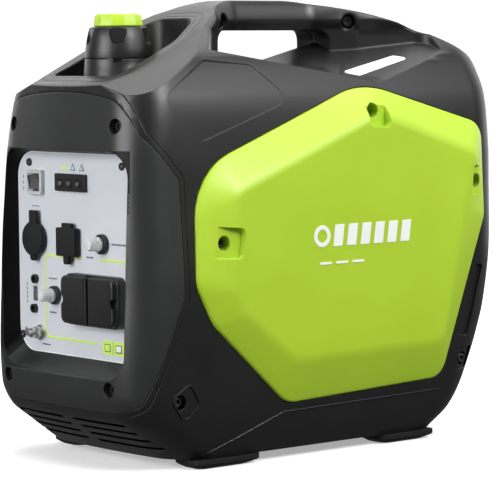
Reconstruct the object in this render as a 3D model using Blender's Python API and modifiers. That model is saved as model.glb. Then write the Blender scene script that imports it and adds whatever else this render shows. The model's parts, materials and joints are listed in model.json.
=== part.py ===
"""Suitcase inverter generator: moulded shells round a fuel tank, a small engine and an inverter.

Metres, +Z up. The control panel faces -Y, the recoil starter is on -X, and the part stands on z = 0.
"""

import bisect
import math

import bmesh
import bpy
from mathutils import Matrix, Vector

# ---- driving dimensions -------------------------------------------------------------------------
GAP = 0.0003  # left between pieces that touch
LIFT = 0.006  # the feet reach this far below z = 0 of the sizes in this file
WALL = 0.003  # moulded wall thickness
CORNER_R = 0.045  # upright corners of the body
FRONT_BULGE = 0.003  # the front face bows out by this at its middle
CORNER_STEPS = 4

# The body at each height: half width, corner line of the front face, rear face.
BODY = [
    (0.004, 0.1195, -0.190, 0.168),
    (0.026, 0.126, -0.217, 0.193),
    (0.048, 0.1285, -0.243, 0.207),
    (0.070, 0.1295, -0.252, 0.217),
    (0.100, 0.1305, -0.253, 0.229),
    (0.135, 0.131, -0.252, 0.240),
    (0.180, 0.131, -0.250, 0.248),
    (0.220, 0.129, -0.2495, 0.252),
    (0.263, 0.126, -0.248, 0.2545),
    (0.300, 0.124, -0.246, 0.256),
    (0.335, 0.121, -0.2425, 0.256),
    (0.358, 0.1175, -0.2395, 0.2555),
    (0.380, 0.110, -0.2365, 0.253),
    (0.400, 0.100, -0.234, 0.249),
    (0.415, 0.086, -0.232, 0.244),
    (0.430, 0.068, -0.230, 0.238),
    (0.445, 0.049, -0.228, 0.230),
    (0.459, 0.034, -0.226, 0.220),
]
# Side profile of the roof, front to rear (y, z).
ROOF = [
    (-0.2425, 0.3715),
    (-0.190, 0.393),
    (-0.144, 0.4155),
    (-0.088, 0.4435),
    (-0.066, 0.453),
    (-0.040, 0.458),
    (0.030, 0.458),
    (0.076, 0.4535),
    (0.140, 0.4395),
    (0.187, 0.4215),
    (0.225, 0.4015),
    (0.245, 0.385),
    (0.256, 0.360),
]
# Planes that bevel the roof's two front corners, written like the trough floors below.
SHOULDER = (0.5108, 0.49, -0.35)
# Plan of the hand trough on +X, from its front wall along the handle to its rear end (x, y).
TROUGH = [
    (0.160, -0.150),
    (0.098, -0.128),
    (0.036, -0.075),
    (0.019, -0.036),
    (0.019, 0.066),
    (0.045, 0.114),
    (0.072, 0.183),
    (0.160, 0.183),
]
# Trough floor planes: height at x = y = 0, slope along y, slope outward.
FLOOR_FRONT = (0.391, -0.162, -0.05)
FLOOR_REAR = (0.392, 0.25, -0.36)

FINGER_Y = (-0.064, 0.089)  # finger opening under the handle
FINGER_TOP = 0.427

BEZEL_EDGE = [
    (-0.300, 0.3735),
    (-0.2440, 0.3720),
    (-0.2400, 0.3640),
    (-0.2290, 0.3250),
    (-0.1930, 0.2810),
    (-0.1920, 0.1670),
    (-0.2360, 0.0640),
    (-0.2480, 0.0540),
    (-0.300, 0.0490),
]
WINDOW_HALF = 0.106
WINDOW_Z = (0.0865, 0.3095)
WINDOW_R = 0.026
PANEL_Y = -0.227
PANEL_T = 0.0025

COVER_EDGE = [
    (-0.1745, 0.2885),
    (0.053, 0.3725),
    (0.2175, 0.3265),
    (0.2170, 0.229),
    (0.151, 0.0595),
    (-0.063, 0.0515),
    (-0.158, 0.138),
    (-0.1785, 0.178),
]
COVER_EDGE_R = [0.072, 0.110, 0.020, 0.030, 0.024, 0.030, 0.040, 0.035]
COVER_FLAT = [
    (-0.134, 0.268),
    (0.053, 0.3410),
    (0.194, 0.296),
    (0.178, 0.240),
    (0.143, 0.100),
    (-0.061, 0.096),
    (-0.125, 0.146),
    (-0.138, 0.170),
]
COVER_FLAT_R = [0.012, 0.030, 0.012, 0.020, 0.014, 0.018, 0.018, 0.018]
COVER_X = 0.145  # outer face of the side covers
COVER_PROUD = 0.0025  # the cover's edge stands this far off the body
LEDGE_X = 0.104  # the shell's ledge behind each side cover
SERVICE_HOLE = [(-0.055, 0.090), (0.130, 0.090), (0.150, 0.280), (-0.130, 0.240), (-0.130, 0.155)]
COVER_SCREWS = [(-0.148, 0.218), (0.052, 0.344), (0.199, 0.266)]

REAR_HALF = 0.092
REAR_Z = (0.075, 0.325)
REAR_SUNK = 0.0028  # the rear cover's face lies this far inside the body's

CAP_Y = -0.171  # fuel cap axis
BOWL = [
    (-0.058, -0.220),
    (0.058, -0.220),
    (0.060, -0.142),
    (0.034, -0.093),
    (-0.034, -0.093),
    (-0.060, -0.142),
]
BOWL_R = [0.014, 0.014, 0.03, 0.03, 0.03, 0.03]
BOWL_FLOOR = 0.3655

CRANK_Z = 0.115
PULLEY_R = 0.045
ROPE_Y = -0.104
ROPE_Z = CRANK_Z + PULLEY_R
ROPE_R = 0.002
KNOB_AT = (-0.100, 0.232)
TRAY_Z = (0.004, 0.008)


# ---- scene --------------------------------------------------------------------------------------
for old in list(bpy.data.objects):
    bpy.data.objects.remove(old)
PARTS = bpy.data.collections.new("inverter_generator")
CUTTERS = bpy.data.collections.new("cutters")
for group in (PARTS, CUTTERS):
    bpy.context.scene.collection.children.link(group)

COLOURS = {
    "shell": ((0.018, 0.018, 0.018), 0.45, 0.0),
    "bezel": ((0.035, 0.036, 0.037), 0.38, 0.0),
    "lime": ((0.44, 0.66, 0.04), 0.35, 0.0),
    "panel": ((0.62, 0.64, 0.68), 0.40, 0.0),
    "black": ((0.01, 0.01, 0.01), 0.40, 0.0),
    "rubber": ((0.012, 0.012, 0.012), 0.75, 0.0),
    "white": ((0.75, 0.75, 0.72), 0.35, 0.0),
    "steel": ((0.55, 0.55, 0.56), 0.30, 1.0),
    "dark_steel": ((0.03, 0.03, 0.03), 0.35, 0.6),
    "aluminium": ((0.60, 0.61, 0.62), 0.42, 1.0),
    "brass": ((0.70, 0.50, 0.20), 0.30, 1.0),
    "copper": ((0.60, 0.25, 0.10), 0.35, 1.0),
    "rope": ((0.02, 0.02, 0.02), 0.90, 0.0),
}


def material(name):
    """The named material, made once."""
    found = bpy.data.materials.get(name)
    if found:
        return found
    colour, rough, metal = COLOURS[name]
    made = bpy.data.materials.new(name)
    made.use_nodes = True
    shader = made.node_tree.nodes["Principled BSDF"]
    shader.inputs["Base Color"].default_value = (*colour, 1.0)
    shader.inputs["Roughness"].default_value = rough
    shader.inputs["Metallic"].default_value = metal
    return made


# ---- modelling tools ----------------------------------------------------------------------------
def piece(bm, name="cutter"):
    """An object in the cutters' collection from a bmesh, with its faces turned outward."""
    bmesh.ops.recalc_face_normals(bm, faces=bm.faces)
    mesh = bpy.data.meshes.new(name)
    bm.to_mesh(mesh)
    bm.free()
    made = bpy.data.objects.new(name, mesh)
    made.hide_render = True
    made.display_type = "WIRE"
    CUTTERS.objects.link(made)
    return made


def bake(ob):
    """Replaces an object's mesh with what its modifiers make."""
    view = bpy.context.evaluated_depsgraph_get()
    mesh = bpy.data.meshes.new_from_object(ob.evaluated_get(view))
    ob.modifiers.clear()
    ob.data = mesh
    return ob


def weld(ob, within=0.002):
    """Merges the doubled points and needle faces that a Boolean leaves, and splits many-sided faces."""
    bm = bmesh.new()
    bm.from_mesh(ob.data)
    bmesh.ops.remove_doubles(bm, verts=bm.verts, dist=within)
    bmesh.ops.dissolve_degenerate(bm, edges=bm.edges, dist=within)
    bmesh.ops.triangulate(bm, faces=bm.faces)
    bm.to_mesh(ob.data)
    bm.free()


def resized(ob, factor):
    ob.data.transform(Matrix.Scale(factor, 4))


def combine(ob, others, operation):
    """Boolean steps, done on the meshes in millimetres, where Blender's tolerances are small."""
    resized(ob, 1000.0)
    for other in others:
        resized(other, 1000.0)
        step = ob.modifiers.new(operation, "BOOLEAN")
        step.operation = operation
        step.object = other
        bake(ob)
        weld(ob)
        bpy.data.objects.remove(other)
    resized(ob, 0.001)
    return ob


def cut(ob, *others):
    return combine(ob, others, "DIFFERENCE")


def join(ob, *others):
    return combine(ob, others, "UNION")


def keep(ob, *others):
    return combine(ob, others, "INTERSECT")


def copy(ob):
    twin = ob.copy()
    twin.data = ob.data.copy()
    CUTTERS.objects.link(twin)
    return twin


def box(low, high):
    bm = bmesh.new()
    bmesh.ops.create_cube(bm, size=1.0)
    size = [b - a for a, b in zip(low, high)]
    middle = [(a + b) / 2 for a, b in zip(low, high)]
    bmesh.ops.scale(bm, vec=size, verts=bm.verts)
    bmesh.ops.translate(bm, vec=middle, verts=bm.verts)
    return piece(bm)


def rod(start, end, radius, steps=20, end_radius=None):
    """A cylinder, or a cone, between two points."""
    start = Vector(start)
    end = Vector(end)
    along = end - start
    turn = along.to_track_quat("Z", "Y").to_matrix().to_4x4()
    bm = bmesh.new()
    bmesh.ops.create_cone(
        bm,
        cap_ends=True,
        segments=steps,
        radius1=radius,
        radius2=radius if end_radius is None else end_radius,
        depth=along.length,
        matrix=Matrix.Translation((start + end) / 2) @ turn,
    )
    return piece(bm)


def turned(profile, at, axis="Z", steps=32):
    """A closed outline (radius, height) turned about an axis through a point by a Screw modifier."""
    bm = bmesh.new()
    points = [bm.verts.new((radius, 0.0, height)) for radius, height in profile]
    for first, second in zip(points, points[1:]):
        bm.edges.new((first, second))
    if profile[0][0] > 0.0 and profile[-1][0] > 0.0:
        bm.edges.new((points[-1], points[0]))
    made = piece(bm)
    screw = made.modifiers.new("turn", "SCREW")
    screw.steps = steps
    screw.render_steps = steps
    screw.use_merge_vertices = True
    screw.merge_threshold = 0.00001
    bake(made)
    bm = bmesh.new()
    bm.from_mesh(made.data)
    turn = {"X": Matrix.Rotation(math.pi / 2, 4, "Y"), "Y": Matrix.Rotation(-math.pi / 2, 4, "X")}
    bmesh.ops.transform(bm, matrix=turn.get(axis, Matrix.Identity(4)), verts=bm.verts)
    bmesh.ops.translate(bm, vec=at, verts=bm.verts)
    bmesh.ops.recalc_face_normals(bm, faces=bm.faces)
    bm.to_mesh(made.data)
    bm.free()
    return made


def loft(rings):
    """A solid skinned through rings of equally many points, with flat ends."""
    bm = bmesh.new()
    rows = [[bm.verts.new(point) for point in ring] for ring in rings]
    for low, high in zip(rows, rows[1:]):
        for i in range(len(low)):
            j = (i + 1) % len(low)
            bm.faces.new((low[i], low[j], high[j], high[i]))
    bm.faces.new(rows[0])
    bm.faces.new(rows[-1])
    bmesh.ops.triangulate(bm, faces=bm.faces)
    return piece(bm)


def prism(outline, along, start, end):
    """A flat outline pushed along an axis: (y, z) along X, (x, z) along Y, (x, y) along Z."""
    place = {
        "X": lambda a, b, t: (t, a, b),
        "Y": lambda a, b, t: (a, t, b),
        "Z": lambda a, b, t: (a, b, t),
    }[along]
    return loft([[place(a, b, t) for a, b in outline] for t in (start, end)])


def rounded(outline, radii, steps=3):
    """A convex outline with each corner made an arc."""
    points = []
    count = len(outline)
    for i, corner in enumerate(outline):
        corner = Vector(corner)
        back = (Vector(outline[i - 1]) - corner).normalized()
        ahead = (Vector(outline[(i + 1) % count]) - corner).normalized()
        half = math.acos(max(-1.0, min(1.0, back.dot(ahead)))) / 2
        centre = corner + (back + ahead).normalized() * radii[i] / math.sin(half)
        first = corner + back * radii[i] / math.tan(half) - centre
        last = corner + ahead * radii[i] / math.tan(half) - centre
        sweep = first.angle_signed(last)
        for k in range(steps + 1):
            turn = Matrix.Rotation(-sweep * k / steps, 2)
            points.append(tuple(centre + turn @ first))
    return points


def grown(outline, by):
    """A convex outline moved outward by a distance."""
    count = len(outline)
    area = sum(
        outline[i - 1][0] * outline[i][1] - outline[i][0] * outline[i - 1][1] for i in range(count)
    )
    side = 1.0 if area > 0 else -1.0
    moved = []
    for i, corner in enumerate(outline):
        corner = Vector(corner)
        back = (corner - Vector(outline[i - 1])).normalized()
        ahead = (Vector(outline[(i + 1) % count]) - corner).normalized()
        out_back = Vector((back.y, -back.x)) * side
        out_ahead = Vector((ahead.y, -ahead.x)) * side
        middle = (out_back + out_ahead).normalized()
        moved.append(tuple(corner + middle * by / middle.dot(out_back)))
    return moved


def rectangle(half_width, low, high, radius, middle=0.0):
    corners = [
        (middle - half_width, low),
        (middle + half_width, low),
        (middle + half_width, high),
        (middle - half_width, high),
    ]
    return rounded(corners, [radius] * 4)


def finish(ob, name, slot, origin=(0.0, 0.0, 0.0), smooth=40.0):
    """Moves a finished solid to the part's collection, with its origin where it pivots."""
    bm = bmesh.new()
    bm.from_mesh(ob.data)
    bmesh.ops.translate(bm, vec=-Vector(origin), verts=bm.verts)
    bm.to_mesh(ob.data)
    bm.free()
    ob.name = name
    ob.data.name = name
    ob.location = Vector(origin) + Vector((0.0, 0.0, LIFT))
    ob.data.materials.clear()
    ob.data.materials.append(material(slot))
    ob.data.shade_smooth()
    ob.data.set_sharp_from_angle(angle=math.radians(smooth))
    ob.hide_render = False
    ob.display_type = "TEXTURED"
    CUTTERS.objects.unlink(ob)
    PARTS.objects.link(ob)
    return ob


def flipped(ob):
    """The same solid mirrored across X = 0."""
    twin = copy(ob)
    bm = bmesh.new()
    bm.from_mesh(twin.data)
    bmesh.ops.scale(bm, vec=(-1.0, 1.0, 1.0), verts=bm.verts)
    bmesh.ops.reverse_faces(bm, faces=bm.faces)
    bm.to_mesh(twin.data)
    bm.free()
    return twin


# ---- the body's form ----------------------------------------------------------------------------
def body_at(z):
    heights = [row[0] for row in BODY]
    z = min(max(z, heights[0]), heights[-1])
    i = min(bisect.bisect_right(heights, z), len(BODY) - 1)
    low = BODY[i - 1]
    high = BODY[i]
    t = (z - low[0]) / (high[0] - low[0])
    return [a + (b - a) * t for a, b in zip(low[1:], high[1:])]


def body_ring(z, inset, at_z=None):
    """The body's outline at a height, moved inward by a distance."""
    half, front, rear = body_at(z)
    half -= inset
    front += inset
    rear -= inset
    radius = min(CORNER_R - inset, half * 0.8)
    level = z if at_z is None else at_z
    flat = half - radius
    points = []
    for step in (-0.5, 0.0, 0.5):
        bow = FRONT_BULGE * (1.0 - step * step)
        points.append((flat * step, front - bow, level))
    corners = [
        (flat, front + radius, -90.0),
        (flat, rear - radius, 0.0),
        (-flat, rear - radius, 90.0),
        (-flat, front + radius, 180.0),
    ]
    for x, y, start in corners:
        for k in range(CORNER_STEPS + 1):
            angle = math.radians(start + 90.0 * k / CORNER_STEPS)
            points.append((x + radius * math.cos(angle), y + radius * math.sin(angle), level))
    return points


def roof_block(inset):
    """Everything under the roof profile, less an inset."""
    top = [(y, z - inset) for y, z in ROOF]
    outline = [(-0.4, -0.1), (-0.4, top[0][1])] + top + [(0.4, top[-1][1]), (0.4, -0.1)]
    return prism(outline, "X", -0.2, 0.2)


def body_solid(inset, bottom=None):
    rings = [body_ring(row[0], inset) for row in BODY]
    if bottom is not None:
        rings.insert(0, body_ring(BODY[0][0], inset, at_z=bottom))
    return keep(loft(rings), roof_block(inset), shoulder_block(inset))


def shoulder_block(inset):
    """Everything under the two bevels of the roof's front corners, less an inset."""
    base, along, outward = SHOULDER
    rings = []
    for y in (-0.4, 0.4):
        side, middle = [base - inset + along * y + outward * x for x in (0.3, 0.0)]
        rings.append(
            [(-0.3, y, -0.1), (0.3, y, -0.1), (0.3, y, side), (0.0, y, middle), (-0.3, y, side)]
        )
    return loft(rings)


def floor_slab(plane, side, inset):
    """The block under one of the trough's two floor planes."""
    base, along, outward = plane
    near = 0.0
    far = 0.25 * side
    rings = []
    for y in (-0.3, 0.3):
        heights = [base - inset + along * y + outward * abs(x) for x in (near, far)]
        rings.append([(near, y, 0.1), (far, y, 0.1), (far, y, heights[1]), (near, y, heights[0])])
    return loft(rings)


def trough(side, grow):
    """The hand trough beside the handle, grown by a wall thickness where grow is more than zero."""
    plan = [(x * side, y) for x, y in TROUGH]
    if grow:
        plan = [
            (x * side - grow * side * (x < 0.15), y + (-grow if y < 0.0 else grow) * (x > 0.03))
            for x, y in TROUGH
        ]
    block = prism(plan, "Z", 0.30, 0.60)
    return cut(block, floor_slab(FLOOR_FRONT, side, grow), floor_slab(FLOOR_REAR, side, grow))


def cover_rings(inset, inner_x, outer_x, side=1):
    """Rings of a side cover: its back edge, its rim just off the body, and its flat face."""
    edge = rounded(grown(COVER_EDGE, -inset), [max(r - inset, 0.004) for r in COVER_EDGE_R])
    flat = rounded(grown(COVER_FLAT, -inset * 0.5), COVER_FLAT_R)
    rim = [(side * (body_at(z)[0] + COVER_PROUD - inset), y, z) for y, z in edge]
    back = [(side * inner_x, y, z) for y, z in edge]
    face = [(side * outer_x, y, z) for y, z in flat]
    return [back, rim, face]


# ---- casing -------------------------------------------------------------------------------------
def make_casing():
    outer = body_solid(0.0)
    hollow = body_solid(WALL, bottom=-0.02)
    handle_plan = [(-0.055, -0.10), (0.055, -0.10), (0.055, 0.125), (-0.055, 0.125)]
    handle_block = prism(handle_plan, "Z", 0.30, 0.6)
    for side in (1, -1):
        for plane in (FLOOR_FRONT, FLOOR_REAR):
            cut(handle_block, floor_slab(plane, side, WALL))
        cut(hollow, trough(side, WALL))
    bowl_outer = prism(rounded(grown(BOWL, WALL), BOWL_R), "Z", BOWL_FLOOR - WALL, 0.60)
    cut(hollow, handle_block, bowl_outer)

    bezel = keep(copy(outer), prism(BEZEL_EDGE, "X", -0.2, 0.2))
    make_bezel(bezel, copy(hollow))
    rear = prism(rectangle(REAR_HALF - GAP, REAR_Z[0] + GAP, REAR_Z[1] - GAP, 0.012), "Y", 0.15, 0.30)
    keep(rear, body_solid(REAR_SUNK))
    make_rear_cover(cut(rear, body_solid(REAR_SUNK + WALL)))

    body = keep(outer, box((GAP / 2, -0.4, -0.1), (0.4, 0.4, 0.6)))
    tub = prism(rounded(grown(COVER_EDGE, GAP + WALL), COVER_EDGE_R), "X", LEDGE_X - WALL, 0.21)
    bosses = [rod((0.112, y, z), (0.15, y, z), 0.011, 12) for y, z in SHELL_SCREWS]
    cut(hollow, tub, *bosses)
    recess = prism(rounded(grown(COVER_EDGE, GAP), COVER_EDGE_R), "X", LEDGE_X, 0.20)
    service = prism(rounded(SERVICE_HOLE, [0.02] * 5), "X", 0.08, 0.2)
    rear_hole = prism(rectangle(REAR_HALF, REAR_Z[0], REAR_Z[1], 0.012), "Y", 0.15, 0.30)
    front_cut = prism(grown(BEZEL_EDGE, GAP), "X", -0.2, 0.2)
    cut(body, hollow, rear_hole, recess, service, front_cut)
    cut(body, trough(1, 0.0))
    finger = prism(finger_outline(), "X", -0.001, 0.1)
    cut(finger, floor_slab(FLOOR_FRONT, 1, 0.0), floor_slab(FLOOR_REAR, 1, 0.0))
    cut(body, finger)
    cut(body, prism(rounded(grown(BOWL, GAP), BOWL_R), "Z", 0.355, 0.60))
    cut(body, *shell_pockets())
    for index in range(4):
        low = 0.0150 + 0.0083 * index
        cut(body, box((0.008, -0.28, low), (0.104 - 0.0045 * index, -0.17, low + 0.003)))
    left = flipped(body)
    finish(body, "right_shell", "shell")
    finish(left, "left_shell", "shell")


def finger_outline():
    corners = [
        (FINGER_Y[0], 0.380),
        (FINGER_Y[1], 0.380),
        (FINGER_Y[1], FINGER_TOP),
        (FINGER_Y[0], FINGER_TOP),
    ]
    return rounded(corners, [0.001, 0.001, 0.012, 0.012])


HANDLE_SCREWS = [((0.0300, -0.0590, 0.436), (0.86, 0.50)), ((0.0400, 0.104, 0.436), (0.87, -0.49))]
SHELL_SCREWS = [(-0.198, 0.065), (0.187, 0.076)]


def shell_pockets():
    pockets = []
    for y, z in SHELL_SCREWS:
        half = body_at(z)[0]
        pockets.append(rod((half - 0.009, y, z), (0.16, y, z), 0.0075, 16))
        pockets.append(rod((0.10, y, z), (half - 0.008, y, z), 0.0026, 10))
    for (x, y, z), (nx, ny) in HANDLE_SCREWS:
        inner = (x - nx * 0.010, y - ny * 0.010, z)
        outer = (x + nx * 0.030, y + ny * 0.030, z)
        pockets.append(rod(inner, outer, 0.0080, 16))
    return pockets


def cap_screw(head, direction, shank=0.010, head_r=0.0052):
    """A socket screw: head, hexagon recess and shank, its head's outer face at a point."""
    at = Vector(head)
    out = Vector(direction).normalized()
    body = rod(at - out * 0.0045, at, head_r, 14)
    join(body, rod(at - out * (0.0045 + shank), at - out * 0.004, 0.0022, 10))
    return cut(body, rod(at - out * 0.0028, at + out * 0.002, 0.0026, 6))


BEZEL_SCREWS = [(-0.086, 0.334), (0.086, 0.334), (-0.086, 0.078), (0.086, 0.078)]


def front_face(x, z):
    """Y of the body's front face at a place on it."""
    half, front, _ = body_at(z)
    flat = half - CORNER_R
    if abs(x) <= flat:
        return front - FRONT_BULGE * (1.0 - (x / flat) ** 2)
    over = abs(x) - flat
    return front + CORNER_R - math.sqrt(CORNER_R**2 - over**2)


def make_bezel(bezel, hollow):
    frame = rounded(window_corners(WALL), [WINDOW_R + WALL] * 4, 4)
    cut(hollow, prism(frame, "Y", -0.30, PANEL_Y + 0.0048))
    for x, z in BEZEL_SCREWS:
        face = front_face(x, z)
        cut(hollow, rod((x, face + 0.014, z), (x, face - 0.03, z), 0.0105, 16))
    cut(bezel, hollow)
    window = prism(rounded(window_corners(0.0), [WINDOW_R] * 4, 4), "Y", -0.32, PANEL_Y + PANEL_T + GAP)
    back = prism(rounded(window_corners(-0.018), [WINDOW_R - 0.018] * 4, 4), "Y", -0.30, -0.20)
    cut(bezel, window, back)
    for x, z in BEZEL_SCREWS:
        face = front_face(x, z)
        cut(bezel, rod((x, face + 0.010, z), (x, face - 0.03, z), 0.0075, 16))
        cut(bezel, rod((x, face + 0.020, z), (x, face + 0.009, z), 0.0026, 10))
    for x, z in PANEL_SCREWS:
        cut(bezel, rod((x, PANEL_Y - 0.01, z), (x, PANEL_Y + 0.01, z), 0.0018, 8))
    finish(bezel, "front_bezel", "bezel")


def window_corners(grow):
    low, high = WINDOW_Z
    half = WINDOW_HALF + grow
    return [(-half, low - grow), (half, low - grow), (half, high + grow), (-half, high + grow)]


def make_bezel_screws():
    for number, (x, z) in enumerate(BEZEL_SCREWS, 1):
        head = (x, front_face(x, z) + 0.0050, z)
        screw = cap_screw(head, (0, -1, 0), shank=0.008)
        finish(screw, f"bezel_screw_{number}", "dark_steel", head)


EXHAUST_AT = (-0.048, 0.140)
REAR_SCREWS = [(-0.082, 0.090), (0.082, 0.090), (-0.082, 0.310), (0.082, 0.310)]


def make_rear_cover(cover):
    for index in range(9):
        low = 0.205 + 0.011 * index
        cut(cover, box((-0.070, 0.20, low), (0.070, 0.30, low + 0.0035)))
    for index in range(7):
        low = 0.098 + 0.011 * index
        cut(cover, box((0.005, 0.20, low), (0.070, 0.30, low + 0.0035)))
    x, z = EXHAUST_AT
    cut(cover, rod((x, 0.18, z), (x, 0.30, z), 0.0265, 24))
    for x, z in REAR_SCREWS:
        cut(cover, rod((x, 0.20, z), (x, 0.30, z), 0.0026, 10))
    finish(cover, "rear_cover", "shell")


def cover_surface_x(z):
    """X of the side cover's outer face on its sloping band, where its fasteners sit."""
    return body_at(z)[0] + COVER_PROUD + 0.004


def make_side_cover(side, name):
    cover = loft(cover_rings(0.0, LEDGE_X + GAP, COVER_X, side))
    bosses = []
    for y, z in COVER_SCREWS:
        boss = rod((side * (LEDGE_X + GAP), y, z), (side * 0.16, y, z), 0.0115, 16)
        bosses.append(keep(boss, copy(cover)))
    extras = []
    if side < 0:
        for outline, floor in left_recesses(WALL):
            cup = prism(outline, "X", side * (floor - WALL), side * 0.2)
            extras.append(keep(cup, copy(cover)))
    cut(cover, loft(cover_rings(WALL, LEDGE_X - 0.03, COVER_X - WALL, side)))
    join(cover, *bosses, *extras)
    for y, z in COVER_SCREWS:
        surface = cover_surface_x(z)
        cut(cover, rod((side * (surface - 0.009), y, z), (side * 0.16, y, z), 0.0080, 16))
        cut(cover, rod((side * 0.09, y, z), (side * (surface - 0.008), y, z), 0.0026, 10))
    if side < 0:
        for outline, floor in left_recesses(0.0):
            cut(cover, prism(outline, "X", side * floor, side * 0.2))
        cut(cover, rod((-0.10, ROPE_Y, ROPE_Z), (-0.15, ROPE_Y, ROPE_Z), 0.0082, 16))
        cut(cover, rod((-0.10, *KNOB_AT), (-0.15, *KNOB_AT), 0.0042, 12))
    return finish(cover, name, "lime")


GRIP_FLOOR = 0.1285
KNOB_FLOOR = 0.1335


def left_recesses(grow):
    """The starter grip's recess and the engine switch's, as outline and floor."""
    grip = rounded(
        grown(
            [
                (ROPE_Y - 0.021, ROPE_Z - 0.040),
                (ROPE_Y + 0.021, ROPE_Z - 0.040),
                (ROPE_Y + 0.021, ROPE_Z + 0.040),
                (ROPE_Y - 0.021, ROPE_Z + 0.040),
            ],
            grow,
        ),
        [0.012 + grow] * 4,
        4,
    )
    count = 20
    radius = 0.0245 + grow
    ring = [
        (
            KNOB_AT[0] + radius * math.cos(2 * math.pi * k / count),
            KNOB_AT[1] + radius * math.sin(2 * math.pi * k / count),
        )
        for k in range(count)
    ]
    return [(grip, GRIP_FLOOR), (ring, KNOB_FLOOR)]


def make_base():
    rings = [body_ring(z, WALL + GAP, at_z=z) for z in TRAY_Z]
    tray = loft(rings)
    for x in (-0.05, 0.05):
        for y in (0.00, 0.08):
            cut(tray, rod((x, y, -0.01), (x, y, 0.03), 0.0035, 10))
    finish(tray, "base_tray", "shell")
    for side, x in (("left", -0.103), ("right", 0.103)):
        for end, y0, y1 in (("front", -0.172, -0.090), ("rear", 0.075, 0.150)):
            low = rectangle(0.015, y0 + 0.006, y1 - 0.012, 0.006, x)
            high = rectangle(0.021, y0, y1, 0.008, x)
            levels = ((low, -LIFT), (high, -0.002), (high, TRAY_Z[0] - GAP))
            foot = loft([[(a, b, z) for a, b in outline] for outline, z in levels])
            finish(foot, f"foot_{end}_{side}", "rubber")


# ---- fuel side ----------------------------------------------------------------------------------
def make_fuel():
    outline = rounded(BOWL, BOWL_R)
    tray = keep(prism(outline, "Z", 0.356, 0.60), body_solid(0.0))
    inner = rounded(grown(BOWL, -WALL), [r - 0.002 for r in BOWL_R])
    cut(tray, prism(inner, "Z", BOWL_FLOOR, 0.60))
    cut(tray, rod((0, CAP_Y, 0.34), (0, CAP_Y, 0.40), 0.0232, 28))
    finish(tray, "fuel_tray", "black")

    collar = turned(
        [(0.0340, 0.3990), (0.0365, BOWL_FLOOR + GAP), (0.0236, BOWL_FLOOR + GAP), (0.0236, 0.3990)],
        (0, CAP_Y, 0),
    )
    finish(collar, "filler_collar", "black")
    neck = turned([(0.0225, 0.4120), (0.0225, 0.3480), (0.0195, 0.3480), (0.0195, 0.4120)], (0, CAP_Y, 0))
    finish(neck, "filler_neck", "steel")
    seal = turned([(0.0001, 0.4200), (0.0215, 0.4200), (0.0225, 0.4123), (0.0001, 0.4123)], (0, CAP_Y, 0))
    cut(seal, rod((0, CAP_Y, 0.40), (0, CAP_Y, 0.43), 0.003, 12))
    finish(seal, "fuel_cap_seal", "rubber", (0, CAP_Y, 0.4123))

    cap = turned(
        [
            (0.0030, 0.4310),
            (0.0275, 0.4310),
            (0.0295, 0.4295),
            (0.0325, 0.4160),
            (0.0340, 0.4035),
            (0.0340, 0.3993),
            (0.0232, 0.3993),
            (0.0232, 0.4203),
            (0.0030, 0.4203),
        ],
        (0, CAP_Y, 0),
        steps=36,
    )
    for k in range(3):
        angle = math.radians(-30.0 + 120.0 * k)
        at = Vector((math.cos(angle) * 0.0405, CAP_Y + math.sin(angle) * 0.0405, 0))
        cut(cap, rod((at.x, at.y, 0.4085), (at.x, at.y, 0.45), 0.0105, 16))
    finish(cap, "fuel_cap", "black", (0, CAP_Y, 0.3993))

    knob = rod((0, CAP_Y, 0.4313), (0, CAP_Y, 0.4440), 0.0255, 12, end_radius=0.0235)
    stem = rod((0, CAP_Y, 0.4215), (0, CAP_Y, 0.4320), 0.0025, 12)
    finish(join(knob, stem), "fuel_cap_vent_knob", "lime", (0, CAP_Y, 0.4313))

    corners = [(-0.092, -0.180), (0.092, -0.180), (0.092, 0.030), (-0.092, 0.030)]
    tank = loft(
        [
            [(x, y, z) for x, y in rounded(grown(corners, -edge), [0.02] * 4)]
            for z, edge in ((0.272, 0.008), (0.280, 0.0), (0.335, 0.0), (0.3477, 0.010))
        ]
    )
    cut(tank, box((-0.086, -0.174, 0.278), (0.086, 0.024, 0.338)))
    cut(tank, box((-0.012, CAP_Y + 0.001, 0.33), (0.012, CAP_Y + 0.014, 0.36)))
    finish(tank, "fuel_tank", "black")


# ---- control panel ------------------------------------------------------------------------------
PANEL_SCREWS = [(-0.079, 0.2945), (0.079, 0.2945), (-0.0945, 0.117), (0.0945, 0.117)]
ECO_AT = (-0.065, 0.2745)
LAMP_AT = (-0.0045, 0.2760)
DC_AT = (-0.0665, 0.217)
USB_AT = (-0.007, 0.2165)
DC_BREAKER_AT = (0.046, 0.217)
AC_BREAKER_AT = (-0.036, 0.161)
PARALLEL_AT = [(-0.0705, 0.1755), (-0.0725, 0.145)]
OUTLET_X = (-0.007, 0.083)
OUTLET_Z = (0.135, 0.186)
OUTLET_MIDDLE = (0.038, 0.1605)
RIDGE_X = 0.038
GROUND_AT = (-0.064, 0.121)
FRONT = PANEL_Y - GAP  # back of what stands on the panel


def panel_block(x, z, half_x, half_z, front, back, radius=0.002):
    return prism(rectangle(half_x, z - half_z, z + half_z, radius, x), "Y", front, back)


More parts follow.
